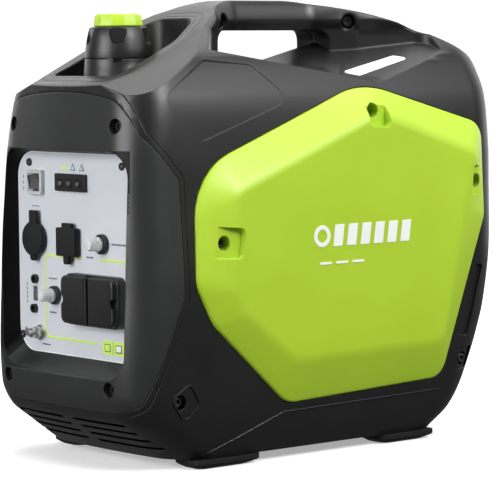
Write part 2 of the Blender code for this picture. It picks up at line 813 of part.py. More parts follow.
def make_panel():
    corners = window_corners(-0.0005)
    panel = prism(rounded(corners, [WINDOW_R] * 4, 4), "Y", PANEL_Y, PANEL_Y + PANEL_T)
    through = [
        panel_block(*ECO_AT, 0.0113, 0.0108, -0.3, -0.2, 0.001),
        panel_block(*LAMP_AT, 0.0243, 0.0073, -0.3, -0.2, 0.001),
        panel_block(*USB_AT, 0.0138, 0.0093, -0.3, -0.2, 0.001),
        panel_block(*OUTLET_MIDDLE, 0.0403, 0.0223, -0.3, -0.2),
        rod((DC_AT[0], -0.25, DC_AT[1]), (DC_AT[0], -0.2, DC_AT[1]), 0.0138, 24),
        rod((GROUND_AT[0], -0.25, GROUND_AT[1]), (GROUND_AT[0], -0.2, GROUND_AT[1]), 0.0033, 10),
    ]
    for x, z in (DC_BREAKER_AT, AC_BREAKER_AT, *PARALLEL_AT):
        through.append(rod((x, -0.25, z), (x, -0.2, z), 0.0058, 16))
    for x, z in PANEL_SCREWS:
        through.append(rod((x, -0.25, z), (x, -0.2, z), 0.0018, 8))
    cut(panel, *through)
    finish(panel, "control_panel", "panel")


def make_eco_switch():
    x, z = ECO_AT
    body = panel_block(x, z, 0.0125, 0.0125, FRONT - 0.0045, FRONT, 0.002)
    join(body, panel_block(x, z, 0.0110, 0.0105, FRONT - 0.001, FRONT + 0.020, 0.001))
    cut(body, panel_block(x, z, 0.0098, 0.0090, FRONT - 0.006, FRONT + 0.012, 0.001))
    finish(body, "eco_switch_body", "black")
    outline = [
        (FRONT - 0.0062, z + 0.0080),
        (FRONT - 0.0032, z),
        (FRONT - 0.0036, z - 0.0080),
        (FRONT + 0.0040, z - 0.0072),
        (FRONT + 0.0040, z + 0.0072),
    ]
    rocker = prism(outline, "X", x - 0.0092, x + 0.0092)
    finish(rocker, "eco_switch_rocker", "black", (x, FRONT + 0.0015, z))


def make_indicator():
    x, z = LAMP_AT
    block = panel_block(x, z, 0.0255, 0.0085, FRONT - 0.0024, FRONT, 0.001)
    join(block, panel_block(x, z, 0.0240, 0.0070, FRONT - 0.001, FRONT + 0.012, 0.001))
    lamps = box((x - 0.021, FRONT + 0.0123, z - 0.006), (x + 0.021, FRONT + 0.0139, z + 0.006))
    for k in range(4):
        lamp_x = x - 0.0165 + 0.011 * k
        cut(block, rod((lamp_x, FRONT - 0.01, z - 0.001), (lamp_x, FRONT + 0.02, z - 0.001), 0.0021, 10))
        front_end = (lamp_x, FRONT - 0.0028, z - 0.001)
        join(lamps, rod(front_end, (lamp_x, FRONT + 0.013, z - 0.001), 0.0017, 10))
    finish(block, "indicator_block", "black")
    finish(lamps, "indicator_lamps", "white")


def make_dc_socket():
    x, z = DC_AT
    socket = turned(
        [
            (0.0165, -FRONT + 0.0025),
            (0.0165, -FRONT),
            (0.0135, -FRONT),
            (0.0135, 0.196),
            (0.0105, 0.196),
            (0.0105, -FRONT + 0.0025),
        ],
        (x, 0, z),
        axis="Y",
    )
    mirror_y(socket)
    back = rod((x, -0.1985, z), (x, -0.1935, z), 0.0130, 20)
    finish(join(socket, back), "dc_socket", "black")
    front = FRONT - 0.0025 - GAP
    cap = rod((x, front - 0.0050, z), (x, front, z), 0.0175, 28)
    join(cap, rod((x, front - 0.001, z), (x, front + 0.008, z), 0.0070, 20))
    join(cap, box((x - 0.0065, front - 0.0035, z + 0.012), (x + 0.0065, front - 0.0003, z + 0.0290)))
    join(cap, box((x - 0.0050, front - 0.0040, z - 0.0225), (x + 0.0050, front - 0.001, z - 0.012)))
    finish(cap, "dc_socket_cap", "rubber", (x, front - 0.0012, z + 0.0280))


def mirror_y(ob):
    """Turns a solid made along +Y to face -Y."""
    bm = bmesh.new()
    bm.from_mesh(ob.data)
    bmesh.ops.scale(bm, vec=(1.0, -1.0, 1.0), verts=bm.verts)
    bmesh.ops.reverse_faces(bm, faces=bm.faces)
    bm.to_mesh(ob.data)
    bm.free()


def make_usb_socket():
    x, z = USB_AT
    body = panel_block(x, z, 0.0150, 0.0125, FRONT - 0.0022, FRONT, 0.002)
    join(body, panel_block(x, z, 0.0135, 0.0090, FRONT - 0.001, FRONT + 0.022, 0.001))
    for side in (-1, 1):
        cut(body, panel_block(x + side * 0.0071, z, 0.0030, 0.0067, FRONT - 0.01, FRONT + 0.014, 0.0005))
    finish(body, "usb_socket", "black")
    front = FRONT - 0.0022 - GAP
    cap = panel_block(x, z, 0.0157, 0.0143, front - 0.0062, front, 0.003)
    join(cap, box((x - 0.0080, front - 0.0030, z + 0.010), (x + 0.0080, front - 0.0003, z + 0.0190)))
    join(cap, box((x - 0.0050, front - 0.0040, z - 0.0225), (x + 0.0050, front - 0.001, z - 0.010)))
    finish(cap, "usb_socket_cap", "rubber", (x, front - 0.0012, z + 0.0182))


def make_breaker(name, at, ring, button_r):
    x, z = at
    body = rod((x, FRONT - 0.0040, z), (x, FRONT, z), ring, 18, end_radius=ring)
    join(body, rod((x, FRONT - 0.001, z), (x, FRONT + 0.018, z), 0.0055, 16))
    cut(body, rod((x, FRONT - 0.01, z), (x, FRONT + 0.008, z), button_r + 0.0003, 16))
    finish(body, name + "_body", "black")
    button = rod((x, FRONT - 0.0085, z), (x, FRONT + 0.0030, z), button_r, 16)
    finish(button, name + "_button", "white", (x, FRONT, z))


def make_parallel_sockets():
    back = PANEL_Y + PANEL_T + GAP
    (upper_x, upper_z), (lower_x, lower_z) = PARALLEL_AT
    sockets = box((lower_x - 0.006, back, lower_z), (upper_x + 0.006, back + 0.012, upper_z))
    for x, z in PARALLEL_AT:
        join(sockets, rod((x, FRONT - 0.0030, z), (x, FRONT, z), 0.0070, 16))
        join(sockets, rod((x, FRONT - 0.001, z), (x, FRONT + 0.020, z), 0.0055, 16))
    for x, z in PARALLEL_AT:
        cut(sockets, rod((x, FRONT - 0.01, z), (x, FRONT + 0.016, z), 0.0024, 12))
    finish(sockets, "parallel_sockets", "black")


BOX_FRONT = FRONT - 0.0100
FLAP_Z = (OUTLET_Z[0] + 0.0015, OUTLET_Z[1] - 0.0015)
FLAP_HINGES = {"left": RIDGE_X - 0.0045, "right": RIDGE_X + 0.0045}
FLAP_Y = BOX_FRONT - 0.0033


def make_outlet():
    middle, mid_z = OUTLET_MIDDLE
    half = (OUTLET_X[1] - OUTLET_X[0]) / 2
    half_z = (OUTLET_Z[1] - OUTLET_Z[0]) / 2
    body = panel_block(middle, mid_z, half, half_z, BOX_FRONT, FRONT, 0.004)
    join(body, panel_block(middle, mid_z, 0.0400, 0.0220, FRONT - 0.001, FRONT + 0.024, 0.002))
    for end in OUTLET_X:
        x = (end + RIDGE_X) / 2
        cut(body, panel_block(x, mid_z, 0.0140, 0.0185, BOX_FRONT - 0.01, BOX_FRONT + 0.014, 0.004))
        for slot in (-0.0063, 0.0063):
            low = (x + slot - 0.0012, BOX_FRONT, mid_z - 0.004)
            cut(body, box(low, (x + slot + 0.0012, BOX_FRONT + 0.028, mid_z + 0.004)))
    ridge = (RIDGE_X - 0.0092, BOX_FRONT - 0.01, FLAP_Z[0] - 0.001)
    cut(body, box(ridge, (RIDGE_X + 0.0092, BOX_FRONT + 0.0022, FLAP_Z[1] + 0.001)))
    finish(body, "ac_outlet_box", "black")
    ends = {
        "left": (OUTLET_X[0] + 0.001, RIDGE_X - 0.0012),
        "right": (RIDGE_X + 0.0012, OUTLET_X[1] - 0.001),
    }
    for name, (low, high) in ends.items():
        front = BOX_FRONT - GAP
        outline = rectangle((high - low) / 2, FLAP_Z[0], FLAP_Z[1], 0.004, (low + high) / 2)
        flap = prism(outline, "Y", front - 0.0055, front)
        tip = low if name == "left" else high
        cut(flap, rod((tip, front - 0.02, mid_z), (tip, front + 0.01, mid_z), 0.0060, 16))
        finish(flap, "outlet_flap_" + name, "black", (FLAP_HINGES[name], FLAP_Y, mid_z))


def make_ground():
    x, z = GROUND_AT
    stud = rod((x, FRONT - 0.0140, z), (x, FRONT + 0.010, z), 0.0030, 12)
    join(stud, rod((x, FRONT - 0.0015, z), (x, FRONT, z), 0.0070, 16))
    join(stud, rod((x, FRONT - 0.0070, z), (x, FRONT - 0.0014, z), 0.0058, 6))
    finish(stud, "ground_terminal", "brass")


# ---- starter and engine switch ------------------------------------------------------------------
def make_starter():
    y, z = ROPE_Y, ROPE_Z
    bar = [
        (y - 0.0080, z - 0.033),
        (y + 0.0080, z - 0.033),
        (y + 0.0080, z + 0.033),
        (y - 0.0080, z + 0.033),
    ]
    grip = loft(
        [
            [(-0.1320, a, b) for a, b in rounded(bar, [0.005] * 4)],
            [(-0.1350, a, b) for a, b in rounded(grown(bar, 0.003), [0.007] * 4)],
            [(-0.1430, a, b) for a, b in rounded(grown(bar, 0.003), [0.007] * 4)],
            [(-0.1448, a, b) for a, b in rounded(grown(bar, 0.0005), [0.006] * 4)],
        ]
    )
    join(grip, rod((-0.1303, y, z), (-0.1330, y, z), 0.0070, 14))
    cut(grip, rod((-0.10, y, z), (-0.1400, y, z), ROPE_R + GAP, 10))
    finish(grip, "starter_grip", "black", (-0.138, y, z))
    rope = rod((0.0, y, z), (-0.1397, y, z), ROPE_R, 8)
    finish(rope, "starter_rope", "rope", (-0.138, y, z))
    guide = turned(
        [
            (0.0040, -0.008),
            (0.0078, -0.008),
            (0.0078, 0.0),
            (0.0110, 0.0),
            (0.0110, 0.0012),
            (0.0040, 0.0012),
        ],
        (0, 0, 0),
        steps=20,
    )
    place_guide(guide)
    finish(guide, "rope_guide", "steel")

    groove = PULLEY_R + 0.004
    pulley = turned(
        [
            (0.0125, 0.004),
            (groove, 0.004),
            (groove, 0.0028),
            (PULLEY_R - 0.0024, 0.0025),
            (PULLEY_R - 0.0024, -0.0025),
            (groove, -0.0028),
            (groove, -0.004),
            (0.0125, -0.004),
        ],
        (0, y, CRANK_Z),
        axis="Y",
        steps=36,
    )
    for k in range(4):
        angle = math.radians(45 + 90 * k)
        x = math.cos(angle) * 0.027
        up = CRANK_Z + math.sin(angle) * 0.027
        cut(pulley, rod((x, y - 0.01, up), (x, y + 0.01, up), 0.0085, 12))
    finish(pulley, "recoil_pulley", "black", (0, y, CRANK_Z))

    housing = rod((0, y - 0.012, CRANK_Z), (0, y + 0.0045, CRANK_Z), 0.060, 36)
    cut(housing, rod((0, y - 0.009, CRANK_Z), (0, y + 0.02, CRANK_Z), 0.056, 36))
    join(housing, rod((0, y - 0.0095, CRANK_Z), (0, y + 0.004, CRANK_Z), 0.0115, 20))
    cut(housing, rod((-0.08, y, z), (-0.02, y, z), 0.0038, 12))
    for k in range(6):
        angle = math.radians(30 + 60 * k)
        x = math.cos(angle) * 0.038
        up = CRANK_Z + math.sin(angle) * 0.038
        cut(housing, rod((x, y - 0.02, up), (x, y - 0.006, up), 0.0085, 12))
    finish(housing, "recoil_housing", "dark_steel")


def place_guide(guide):
    """Turns the eyelet's axis to -X and seats its flange on the floor of the grip's recess."""
    bm = bmesh.new()
    bm.from_mesh(guide.data)
    bmesh.ops.transform(bm, matrix=Matrix.Rotation(-math.pi / 2, 4, "Y"), verts=bm.verts)
    bmesh.ops.translate(bm, vec=(-GRIP_FLOOR - GAP, ROPE_Y, ROPE_Z), verts=bm.verts)
    bmesh.ops.recalc_face_normals(bm, faces=bm.faces)
    bm.to_mesh(guide.data)
    bm.free()


def make_engine_switch():
    y, z = KNOB_AT
    knob = rod((-(KNOB_FLOOR + GAP), y, z), (-(KNOB_FLOOR + 0.003), y, z), 0.0205, 28)
    join(knob, box((-0.1445, y - 0.0050, z - 0.0190), (-(KNOB_FLOOR + 0.002), y + 0.0050, z + 0.0190)))
    join(knob, rod((-0.1180, y, z), (-(KNOB_FLOOR + 0.001), y, z), 0.0038, 12))
    finish(knob, "engine_switch_knob", "black", (-0.138, y, z))


# ---- engine -------------------------------------------------------------------------------------
def make_engine():
    mounts = box((-0.058, -0.008, 0.0225), (0.058, 0.088, 0.0260))
    cut(mounts, box((-0.040, 0.010, 0.0), (0.040, 0.070, 0.1)))
    for x in (-0.05, 0.05):
        for y in (0.00, 0.08):
            join(mounts, rod((x, y, TRAY_Z[1] + GAP), (x, y, 0.0240), 0.0070, 16))
    finish(mounts, "engine_mounts", "rubber")

    case = box((-0.062, -0.018, 0.0263), (0.062, 0.098, 0.162))
    cut(case, rod((0, 0.000, CRANK_Z), (0, 0.080, CRANK_Z), 0.0440, 32))
    cut(case, rod((0, -0.05, CRANK_Z), (0, 0.20, CRANK_Z), 0.0123, 20))
    cut(case, rod((0, 0.040, CRANK_Z), (0, 0.040, 0.20), 0.0252, 24))
    finish(case, "engine_crankcase", "aluminium")

    cylinder = box((-0.032, 0.008, 0.1623), (0.032, 0.072, 0.2280))
    for index in range(7):
        level = 0.1680 + 0.0080 * index
        groove = box((-0.05, -0.02, level), (0.05, 0.10, level + 0.0045))
        cut(cylinder, cut(groove, box((-0.0275, 0.0125, 0.1), (0.0275, 0.0675, 0.3))))
    cut(cylinder, rod((0, 0.040, 0.15), (0, 0.040, 0.24), 0.0232, 28))
    finish(cylinder, "engine_cylinder", "aluminium")
    head = box((-0.034, 0.006, 0.2283), (0.034, 0.074, 0.2480))
    join(head, box((-0.026, 0.012, 0.247), (0.026, 0.068, 0.2660)))
    cut(head, rod((0.015, 0.040, 0.2370), (0.06, 0.040, 0.2370), 0.0052, 14))
    finish(head, "cylinder_head", "aluminium")
    plug = rod((0.0160, 0.040, 0.2370), (0.0345, 0.040, 0.2370), 0.0048, 14)
    join(plug, rod((0.0343, 0.040, 0.2370), (0.0420, 0.040, 0.2370), 0.0080, 6))
    join(plug, rod((0.0415, 0.040, 0.2370), (0.0620, 0.040, 0.2370), 0.0065, 14))
    finish(plug, "spark_plug", "white")

    shaft = rod((0, -0.0980, CRANK_Z), (0, 0.0990, CRANK_Z), 0.0120, 20)
    for y0, y1 in ((0.020, 0.0315), (0.0485, 0.060)):
        join(shaft, rod((0, y0, CRANK_Z), (0, y1, CRANK_Z), 0.0400, 32))
    cut(shaft, rod((0, 0.0315, CRANK_Z), (0, 0.0485, CRANK_Z), 0.0320, 24))
    join(shaft, rod((0, 0.030, CRANK_Z + 0.022), (0, 0.050, CRANK_Z + 0.022), 0.0090, 16))
    finish(shaft, "crankshaft", "steel", (0, 0, CRANK_Z))

    hub = GAP + 0.0120
    rotor = turned(
        [
            (0.0700, 0.070),
            (0.0700, 0.030),
            (0.0640, 0.030),
            (0.0640, 0.064),
            (hub, 0.064),
            (hub, 0.070),
        ],
        (0, 0, CRANK_Z),
        axis="Y",
        steps=36,
    )
    mirror_y(rotor)
    finish(rotor, "alternator_rotor", "steel", (0, 0, CRANK_Z))
    stator = turned(
        [(0.0625, 0.058), (0.0625, 0.036), (0.0200, 0.036), (0.0200, 0.058)],
        (0, 0, CRANK_Z),
        axis="Y",
    )
    mirror_y(stator)
    join(stator, rod((0, -0.0365, CRANK_Z), (0, -0.0183, CRANK_Z), 0.0300, 24))
    cut(stator, rod((0, -0.07, CRANK_Z), (0, 0.0, CRANK_Z), 0.0180, 20))
    finish(stator, "alternator_stator", "copper")

    fan = turned(
        [(0.0300, 0.0830), (0.0700, 0.0735), (0.0700, 0.0720), (hub, 0.0720), (hub, 0.0830)],
        (0, 0, CRANK_Z),
        axis="Y",
    )
    mirror_y(fan)
    blade_count = 12
    for k in range(blade_count):
        angle = 2 * math.pi * k / blade_count
        blade = box((0.034, -0.0900, -0.0010), (0.0680, -0.0728, 0.0010))
        bm = bmesh.new()
        bm.from_mesh(blade.data)
        turn = Matrix.Translation((0, 0, CRANK_Z)) @ Matrix.Rotation(angle, 4, "Y")
        bmesh.ops.transform(bm, matrix=turn, verts=bm.verts)
        bm.to_mesh(blade.data)
        bm.free()
        join(fan, blade)
    finish(fan, "cooling_fan", "black", (0, 0, CRANK_Z))
    shroud = turned(
        [
            (0.0790, 0.0960),
            (0.0790, 0.0240),
            (0.0760, 0.0240),
            (0.0760, 0.0930),
            (0.0625, 0.0930),
            (0.0625, 0.0960),
        ],
        (0, 0, CRANK_Z),
        axis="Y",
        steps=36,
    )
    mirror_y(shroud)
    finish(shroud, "fan_shroud", "black")

    filter_box = prism(rectangle(0.017, 0.006, 0.086, 0.008, -0.081), "Z", 0.170, 0.262)
    finish(filter_box, "air_filter_box", "black")

    muffler = loft(
        [
            [(x, y, z) for x, z in rectangle(0.058, 0.098 + edge, 0.232 - edge, 0.022, -0.020)]
            for y, edge in ((0.118, 0.010), (0.126, 0.0), (0.196, 0.0), (0.204, 0.010))
        ]
    )
    cut(muffler, box((-0.062, 0.128, 0.112), (0.022, 0.194, 0.218)))
    x, z = EXHAUST_AT
    cut(muffler, rod((x, 0.15, z), (x, 0.25, z), 0.0120, 20))
    finish(muffler, "muffler", "steel")
    outlet = turned(
        [(0.0230, 0.2400), (0.0230, 0.2340), (0.0145, 0.2043), (0.0115, 0.2043), (0.0115, 0.2400)],
        (x, 0, z),
        axis="Y",
        steps=24,
    )
    finish(outlet, "exhaust_outlet", "steel")


def make_inverter():
    fins = box((-0.085, -0.170, 0.030), (0.085, -0.130, 0.195))
    for index in range(11):
        low = 0.040 + 0.014 * index
        cut(fins, box((-0.09, -0.172, low), (0.09, -0.152, low + 0.009)))
    finish(fins, "inverter_module", "aluminium")


make_casing()
make_bezel_screws()
make_side_cover(1, "right_side_cover")
make_side_cover(-1, "left_side_cover")
make_base()
make_fuel()
make_panel()
make_eco_switch()
make_indicator()
make_dc_socket()
make_usb_socket()
make_breaker("dc_breaker", DC_BREAKER_AT, 0.0100, 0.0046)
make_breaker("ac_breaker", AC_BREAKER_AT, 0.0095, 0.0038)
make_parallel_sockets()
make_outlet()
make_ground()
make_starter()
make_engine_switch()
make_engine()
make_inverter()
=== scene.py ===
"""Looks of the suitcase inverter generator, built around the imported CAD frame.

Metres, +Z up. The control panel faces -Y and the recoil starter is on -X.
"""

import bisect
import json
import math

import bmesh
import bpy
from mathutils import Matrix, Vector


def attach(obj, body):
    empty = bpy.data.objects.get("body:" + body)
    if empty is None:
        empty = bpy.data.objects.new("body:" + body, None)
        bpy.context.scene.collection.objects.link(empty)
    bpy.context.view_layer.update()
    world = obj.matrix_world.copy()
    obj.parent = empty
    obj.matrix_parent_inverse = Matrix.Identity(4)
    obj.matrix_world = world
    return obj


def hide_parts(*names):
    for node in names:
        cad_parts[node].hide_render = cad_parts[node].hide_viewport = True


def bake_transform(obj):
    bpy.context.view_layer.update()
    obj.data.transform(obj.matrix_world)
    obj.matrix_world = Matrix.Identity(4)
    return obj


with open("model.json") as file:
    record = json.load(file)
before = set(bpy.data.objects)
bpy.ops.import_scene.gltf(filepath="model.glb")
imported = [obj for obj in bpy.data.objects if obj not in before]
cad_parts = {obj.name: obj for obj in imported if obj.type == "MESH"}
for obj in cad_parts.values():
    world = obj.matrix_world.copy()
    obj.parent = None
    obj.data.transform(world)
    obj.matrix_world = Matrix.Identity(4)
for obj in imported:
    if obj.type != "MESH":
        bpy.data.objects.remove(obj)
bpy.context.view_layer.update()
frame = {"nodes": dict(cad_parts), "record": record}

# ---- driving dimensions -------------------------------------------------------------------------
GAP = 0.0003  # left between pieces that touch
LIFT = 0.006  # the feet reach this far below z = 0 of the sizes in this file
WALL = 0.003  # moulded wall thickness
CORNER_R = 0.045  # upright corners of the body
FRONT_BULGE = 0.003  # the front face bows out by this at its middle
RING_STEP = 0.0045  # height between two rings of the body's skin
CORNER_STEPS = 10

# The body at each height: half width, corner line of the front face, rear face.
BODY = [
    (0.004, 0.1195, -0.190, 0.168),
    (0.026, 0.126, -0.217, 0.193),
    (0.048, 0.1285, -0.243, 0.207),
    (0.070, 0.1295, -0.252, 0.217),
    (0.100, 0.1305, -0.253, 0.229),
    (0.135, 0.131, -0.252, 0.240),
    (0.180, 0.131, -0.250, 0.248),
    (0.220, 0.129, -0.2495, 0.252),
    (0.263, 0.126, -0.248, 0.2545),
    (0.300, 0.124, -0.246, 0.256),
    (0.335, 0.121, -0.2425, 0.256),
    (0.358, 0.1175, -0.2395, 0.2555),
    (0.380, 0.110, -0.2365, 0.253),
    (0.400, 0.100, -0.234, 0.249),
    (0.415, 0.086, -0.232, 0.244),
    (0.430, 0.068, -0.230, 0.238),
    (0.445, 0.049, -0.228, 0.230),
    (0.459, 0.034, -0.226, 0.220),
]
# Side profile of the roof, front to rear (y, z).
ROOF = [
    (-0.2425, 0.3715),
    (-0.190, 0.393),
    (-0.144, 0.4155),
    (-0.088, 0.4435),
    (-0.066, 0.453),
    (-0.040, 0.458),
    (0.030, 0.458),
    (0.076, 0.4535),
    (0.140, 0.4395),
    (0.187, 0.4215),
    (0.225, 0.4015),
    (0.245, 0.385),
    (0.256, 0.360),
]
# Planes that bevel the roof's two front corners, written like the trough floors below.
SHOULDER = (0.5108, 0.49, -0.35)
# Plan of the hand trough on +X, from its front wall along the handle to its rear end (x, y).
TROUGH = [
    (0.160, -0.150),
    (0.098, -0.128),
    (0.036, -0.075),
    (0.019, -0.036),
    (0.019, 0.066),
    (0.045, 0.114),
    (0.072, 0.183),
    (0.160, 0.183),
]
# Trough floor planes: height at x = y = 0, slope along y, slope outward.
FLOOR_FRONT = (0.391, -0.162, -0.05)
FLOOR_REAR = (0.392, 0.25, -0.36)

FINGER_Y = (-0.064, 0.089)  # finger opening under the handle
FINGER_TOP = 0.427

BEZEL_EDGE = [
    (-0.300, 0.3735),
    (-0.2440, 0.3720),
    (-0.2400, 0.3640),
    (-0.2290, 0.3250),
    (-0.1930, 0.2810),
    (-0.1920, 0.1670),
    (-0.2360, 0.0640),
    (-0.2480, 0.0540),
    (-0.300, 0.0490),
]
WINDOW_HALF = 0.106
WINDOW_Z = (0.0865, 0.3095)
WINDOW_R = 0.026
PANEL_Y = -0.227
PANEL_T = 0.0025

COVER_EDGE = [
    (-0.1745, 0.2885),
    (0.053, 0.3725),
    (0.2175, 0.3265),
    (0.2170, 0.229),
    (0.151, 0.0595),
    (-0.063, 0.0515),
    (-0.158, 0.138),
    (-0.1785, 0.178),
]
COVER_EDGE_R = [0.072, 0.110, 0.020, 0.030, 0.024, 0.030, 0.040, 0.035]
COVER_FLAT = [
    (-0.134, 0.268),
    (0.053, 0.3410),
    (0.194, 0.296),
    (0.178, 0.240),
    (0.143, 0.100),
    (-0.061, 0.096),
    (-0.125, 0.146),
    (-0.138, 0.170),
]
COVER_FLAT_R = [0.012, 0.030, 0.012, 0.020, 0.014, 0.018, 0.018, 0.018]
COVER_PROUD = 0.0025  # the cover's edge stands this far off the body
LEDGE_X = 0.104  # the shell's ledge behind each side cover
COVER_SCREWS = [(-0.148, 0.218), (0.052, 0.344), (0.199, 0.266)]

REAR_HALF = 0.092
REAR_Z = (0.075, 0.325)
REAR_SUNK = 0.0028  # the rear cover's face lies this far inside the body's

CAP_Y = -0.171  # fuel cap axis
BOWL = [
    (-0.058, -0.220),
    (0.058, -0.220),
    (0.060, -0.142),
    (0.034, -0.093),
    (-0.034, -0.093),
    (-0.060, -0.142),
]
BOWL_R = [0.014, 0.014, 0.03, 0.03, 0.03, 0.03]
BOWL_FLOOR = 0.3655

ROPE_AT = (-0.104, 0.160)  # y, z of the starter rope
KNOB_AT = (-0.100, 0.232)  # y, z of the engine switch
GRIP_FLOOR = 0.1285
KNOB_FLOOR = 0.1335
EXHAUST_AT = (-0.048, 0.140)
HANDLE_SCREWS = [((0.0300, -0.0590, 0.436), (0.86, 0.50)), ((0.0400, 0.104, 0.436), (0.87, -0.49))]
SHELL_SCREWS = [(-0.198, 0.065), (0.187, 0.076)]
BEZEL_SCREWS = [(-0.086, 0.334), (0.086, 0.334), (-0.086, 0.078), (0.086, 0.078)]
PANEL_SCREWS = [(-0.079, 0.2945), (0.079, 0.2945), (-0.0945, 0.117), (0.0945, 0.117)]
ECO_AT = (-0.065, 0.2745)
LAMP_AT = (-0.0045, 0.2760)
DC_AT = (-0.0665, 0.217)
USB_AT = (-0.007, 0.2165)
DC_BREAKER_AT = (0.046, 0.217)
AC_BREAKER_AT = (-0.036, 0.161)
PARALLEL_AT = [(-0.0705, 0.1755), (-0.0725, 0.145)]
OUTLET_X = (-0.007, 0.083)
OUTLET_Z = (0.135, 0.186)
OUTLET_MIDDLE = (0.038, 0.1605)
RIDGE_X = 0.038
GROUND_AT = (-0.064, 0.121)
SIGN_MIDDLE = 0.2902  # height of the middle of the signs over the lamps
FRONT = PANEL_Y - GAP  # back of what stands on the panel
BOX_FRONT = FRONT - 0.0100
FLAP_Z = (OUTLET_Z[0] + 0.0015, OUTLET_Z[1] - 0.0015)
COVER_FACE = 0.1446  # the covers' flat face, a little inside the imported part's
TRAY_LOW = 0.004
SIDES = (("right", 1), ("left", -1))
REAR_SCREWS = [(-0.082, 0.090), (0.082, 0.090), (-0.082, 0.310), (0.082, 0.310)]


# ---- modelling tools ----------------------------------------------------------------------------
def piece(bm, name="form"):
    """An object from a bmesh, with its faces turned outward."""
    bmesh.ops.recalc_face_normals(bm, faces=bm.faces)
    mesh = bpy.data.meshes.new(name)
    bm.to_mesh(mesh)
    bm.free()
    made = bpy.data.objects.new(name, mesh)
    bpy.context.scene.collection.objects.link(made)
    return made


def bake(ob):
    """Replaces an object's mesh with what its modifiers make."""
    view = bpy.context.evaluated_depsgraph_get()
    mesh = bpy.data.meshes.new_from_object(ob.evaluated_get(view))
    ob.modifiers.clear()
    ob.data = mesh
    return ob


def weld(ob, within=0.002):
    """Merges the doubled points and needle faces that a Boolean leaves, and splits many-sided faces."""
    bm = bmesh.new()
    bm.from_mesh(ob.data)
    bmesh.ops.remove_doubles(bm, verts=bm.verts, dist=within)
    bmesh.ops.dissolve_degenerate(bm, edges=bm.edges, dist=within)
    bmesh.ops.triangulate(bm, faces=bm.faces)
    bm.to_mesh(ob.data)
    bm.free()


def resized(ob, factor):
    ob.data.transform(Matrix.Scale(factor, 4))


def combine(ob, others, operation):
    """Boolean steps, done on the meshes in millimetres, where Blender's tolerances are small."""
    resized(ob, 1000.0)
    for other in others:
        resized(other, 1000.0)
        step = ob.modifiers.new(operation, "BOOLEAN")
        step.operation = operation
        step.object = other
        bake(ob)
        weld(ob)
        bpy.data.objects.remove(other)
    resized(ob, 0.001)
    return ob


def cut(ob, *others):
    return combine(ob, others, "DIFFERENCE")


def join(ob, *others):
    return combine(ob, others, "UNION")


def keep(ob, *others):
    return combine(ob, others, "INTERSECT")


def copy(ob):
    twin = ob.copy()
    twin.data = ob.data.copy()
    bpy.context.scene.collection.objects.link(twin)
    return twin


def box(low, high):
    bm = bmesh.new()
    bmesh.ops.create_cube(bm, size=1.0)
    size = [b - a for a, b in zip(low, high)]
    middle = [(a + b) / 2 for a, b in zip(low, high)]
    bmesh.ops.scale(bm, vec=size, verts=bm.verts)
    bmesh.ops.translate(bm, vec=middle, verts=bm.verts)
    return piece(bm)


def rod(start, end, radius, steps=32, end_radius=None):
    """A cylinder, or a cone, between two points."""
    start = Vector(start)
    end = Vector(end)
    along = end - start
    turn = along.to_track_quat("Z", "Y").to_matrix().to_4x4()
    bm = bmesh.new()
    bmesh.ops.create_cone(
        bm,
        cap_ends=True,
        segments=steps,
        radius1=radius,
        radius2=radius if end_radius is None else end_radius,
        depth=along.length,
        matrix=Matrix.Translation((start + end) / 2) @ turn,
    )
    return piece(bm)


def rod_x(start, end, y, z, radius, steps=32):
    """A rod along X."""
    return rod((start, y, z), (end, y, z), radius, steps)


def rod_y(x, z, start, end, radius, steps=32):
    """A rod along Y."""
    return rod((x, start, z), (x, end, z), radius, steps)


def turned(profile, at, direction=(0, 0, 1), steps=48):
    """A closed outline (radius, height) turned about an axis through a point."""
    turn = Vector(direction).to_track_quat("Z", "Y").to_matrix().to_4x4()
    place = Matrix.Translation(at) @ turn
    bm = bmesh.new()
    rings = []
    for radius, height in profile:
        ring = []
        for k in range(steps if radius > 0.0 else 1):
            angle = 2 * math.pi * k / steps
            spot = Vector((radius * math.cos(angle), radius * math.sin(angle), height))
            ring.append(bm.verts.new(place @ spot))
        rings.append(ring)
    for low, high in zip(rings, rings[1:] + rings[:1]):
        if len(low) == len(high) == 1:
            continue
        for k in range(steps):
            n = (k + 1) % steps
            corners = [low[k % len(low)], low[n % len(low)], high[n % len(high)], high[k % len(high)]]
            bm.faces.new(list(dict.fromkeys(corners)))
    return piece(bm)


def loft(rings, closed=True):
    """A skin through rings of equally many points, with flat ends."""
    bm = bmesh.new()
    rows = [[bm.verts.new(point) for point in ring] for ring in rings]
    for low, high in zip(rows, rows[1:]):
        for i in range(len(low)):
            j = (i + 1) % len(low)
            bm.faces.new((low[i], low[j], high[j], high[i]))
    if closed:
        bm.faces.new(rows[0])
        bm.faces.new(rows[-1])
    bmesh.ops.triangulate(bm, faces=bm.faces)
    return piece(bm)


PLACES = {
    "X": lambda a, b, t: (t, a, b),
    "Y": lambda a, b, t: (a, t, b),
    "Z": lambda a, b, t: (a, b, t),
}


def prism(outline, along, start, end):
    """A flat outline pushed along an axis: (y, z) along X, (x, z) along Y, (x, y) along Z."""
    return loft([[PLACES[along](a, b, t) for a, b in outline] for t in (start, end)])


def cushion(outline, along, start, end, edge, steps=4):
    """A flat outline pushed along an axis, with its far end's rim rounded over."""
    rings = [[PLACES[along](a, b, start) for a, b in outline]]
    sign = 1.0 if end > start else -1.0
    for k in range(steps + 1):
        angle = math.pi / 2 * k / steps
        inward = edge * (1.0 - math.cos(angle))
        level = end - sign * edge * (1.0 - math.sin(angle))
        rings.append([PLACES[along](a, b, level) for a, b in grown(outline, -inward)])
    return loft(rings)


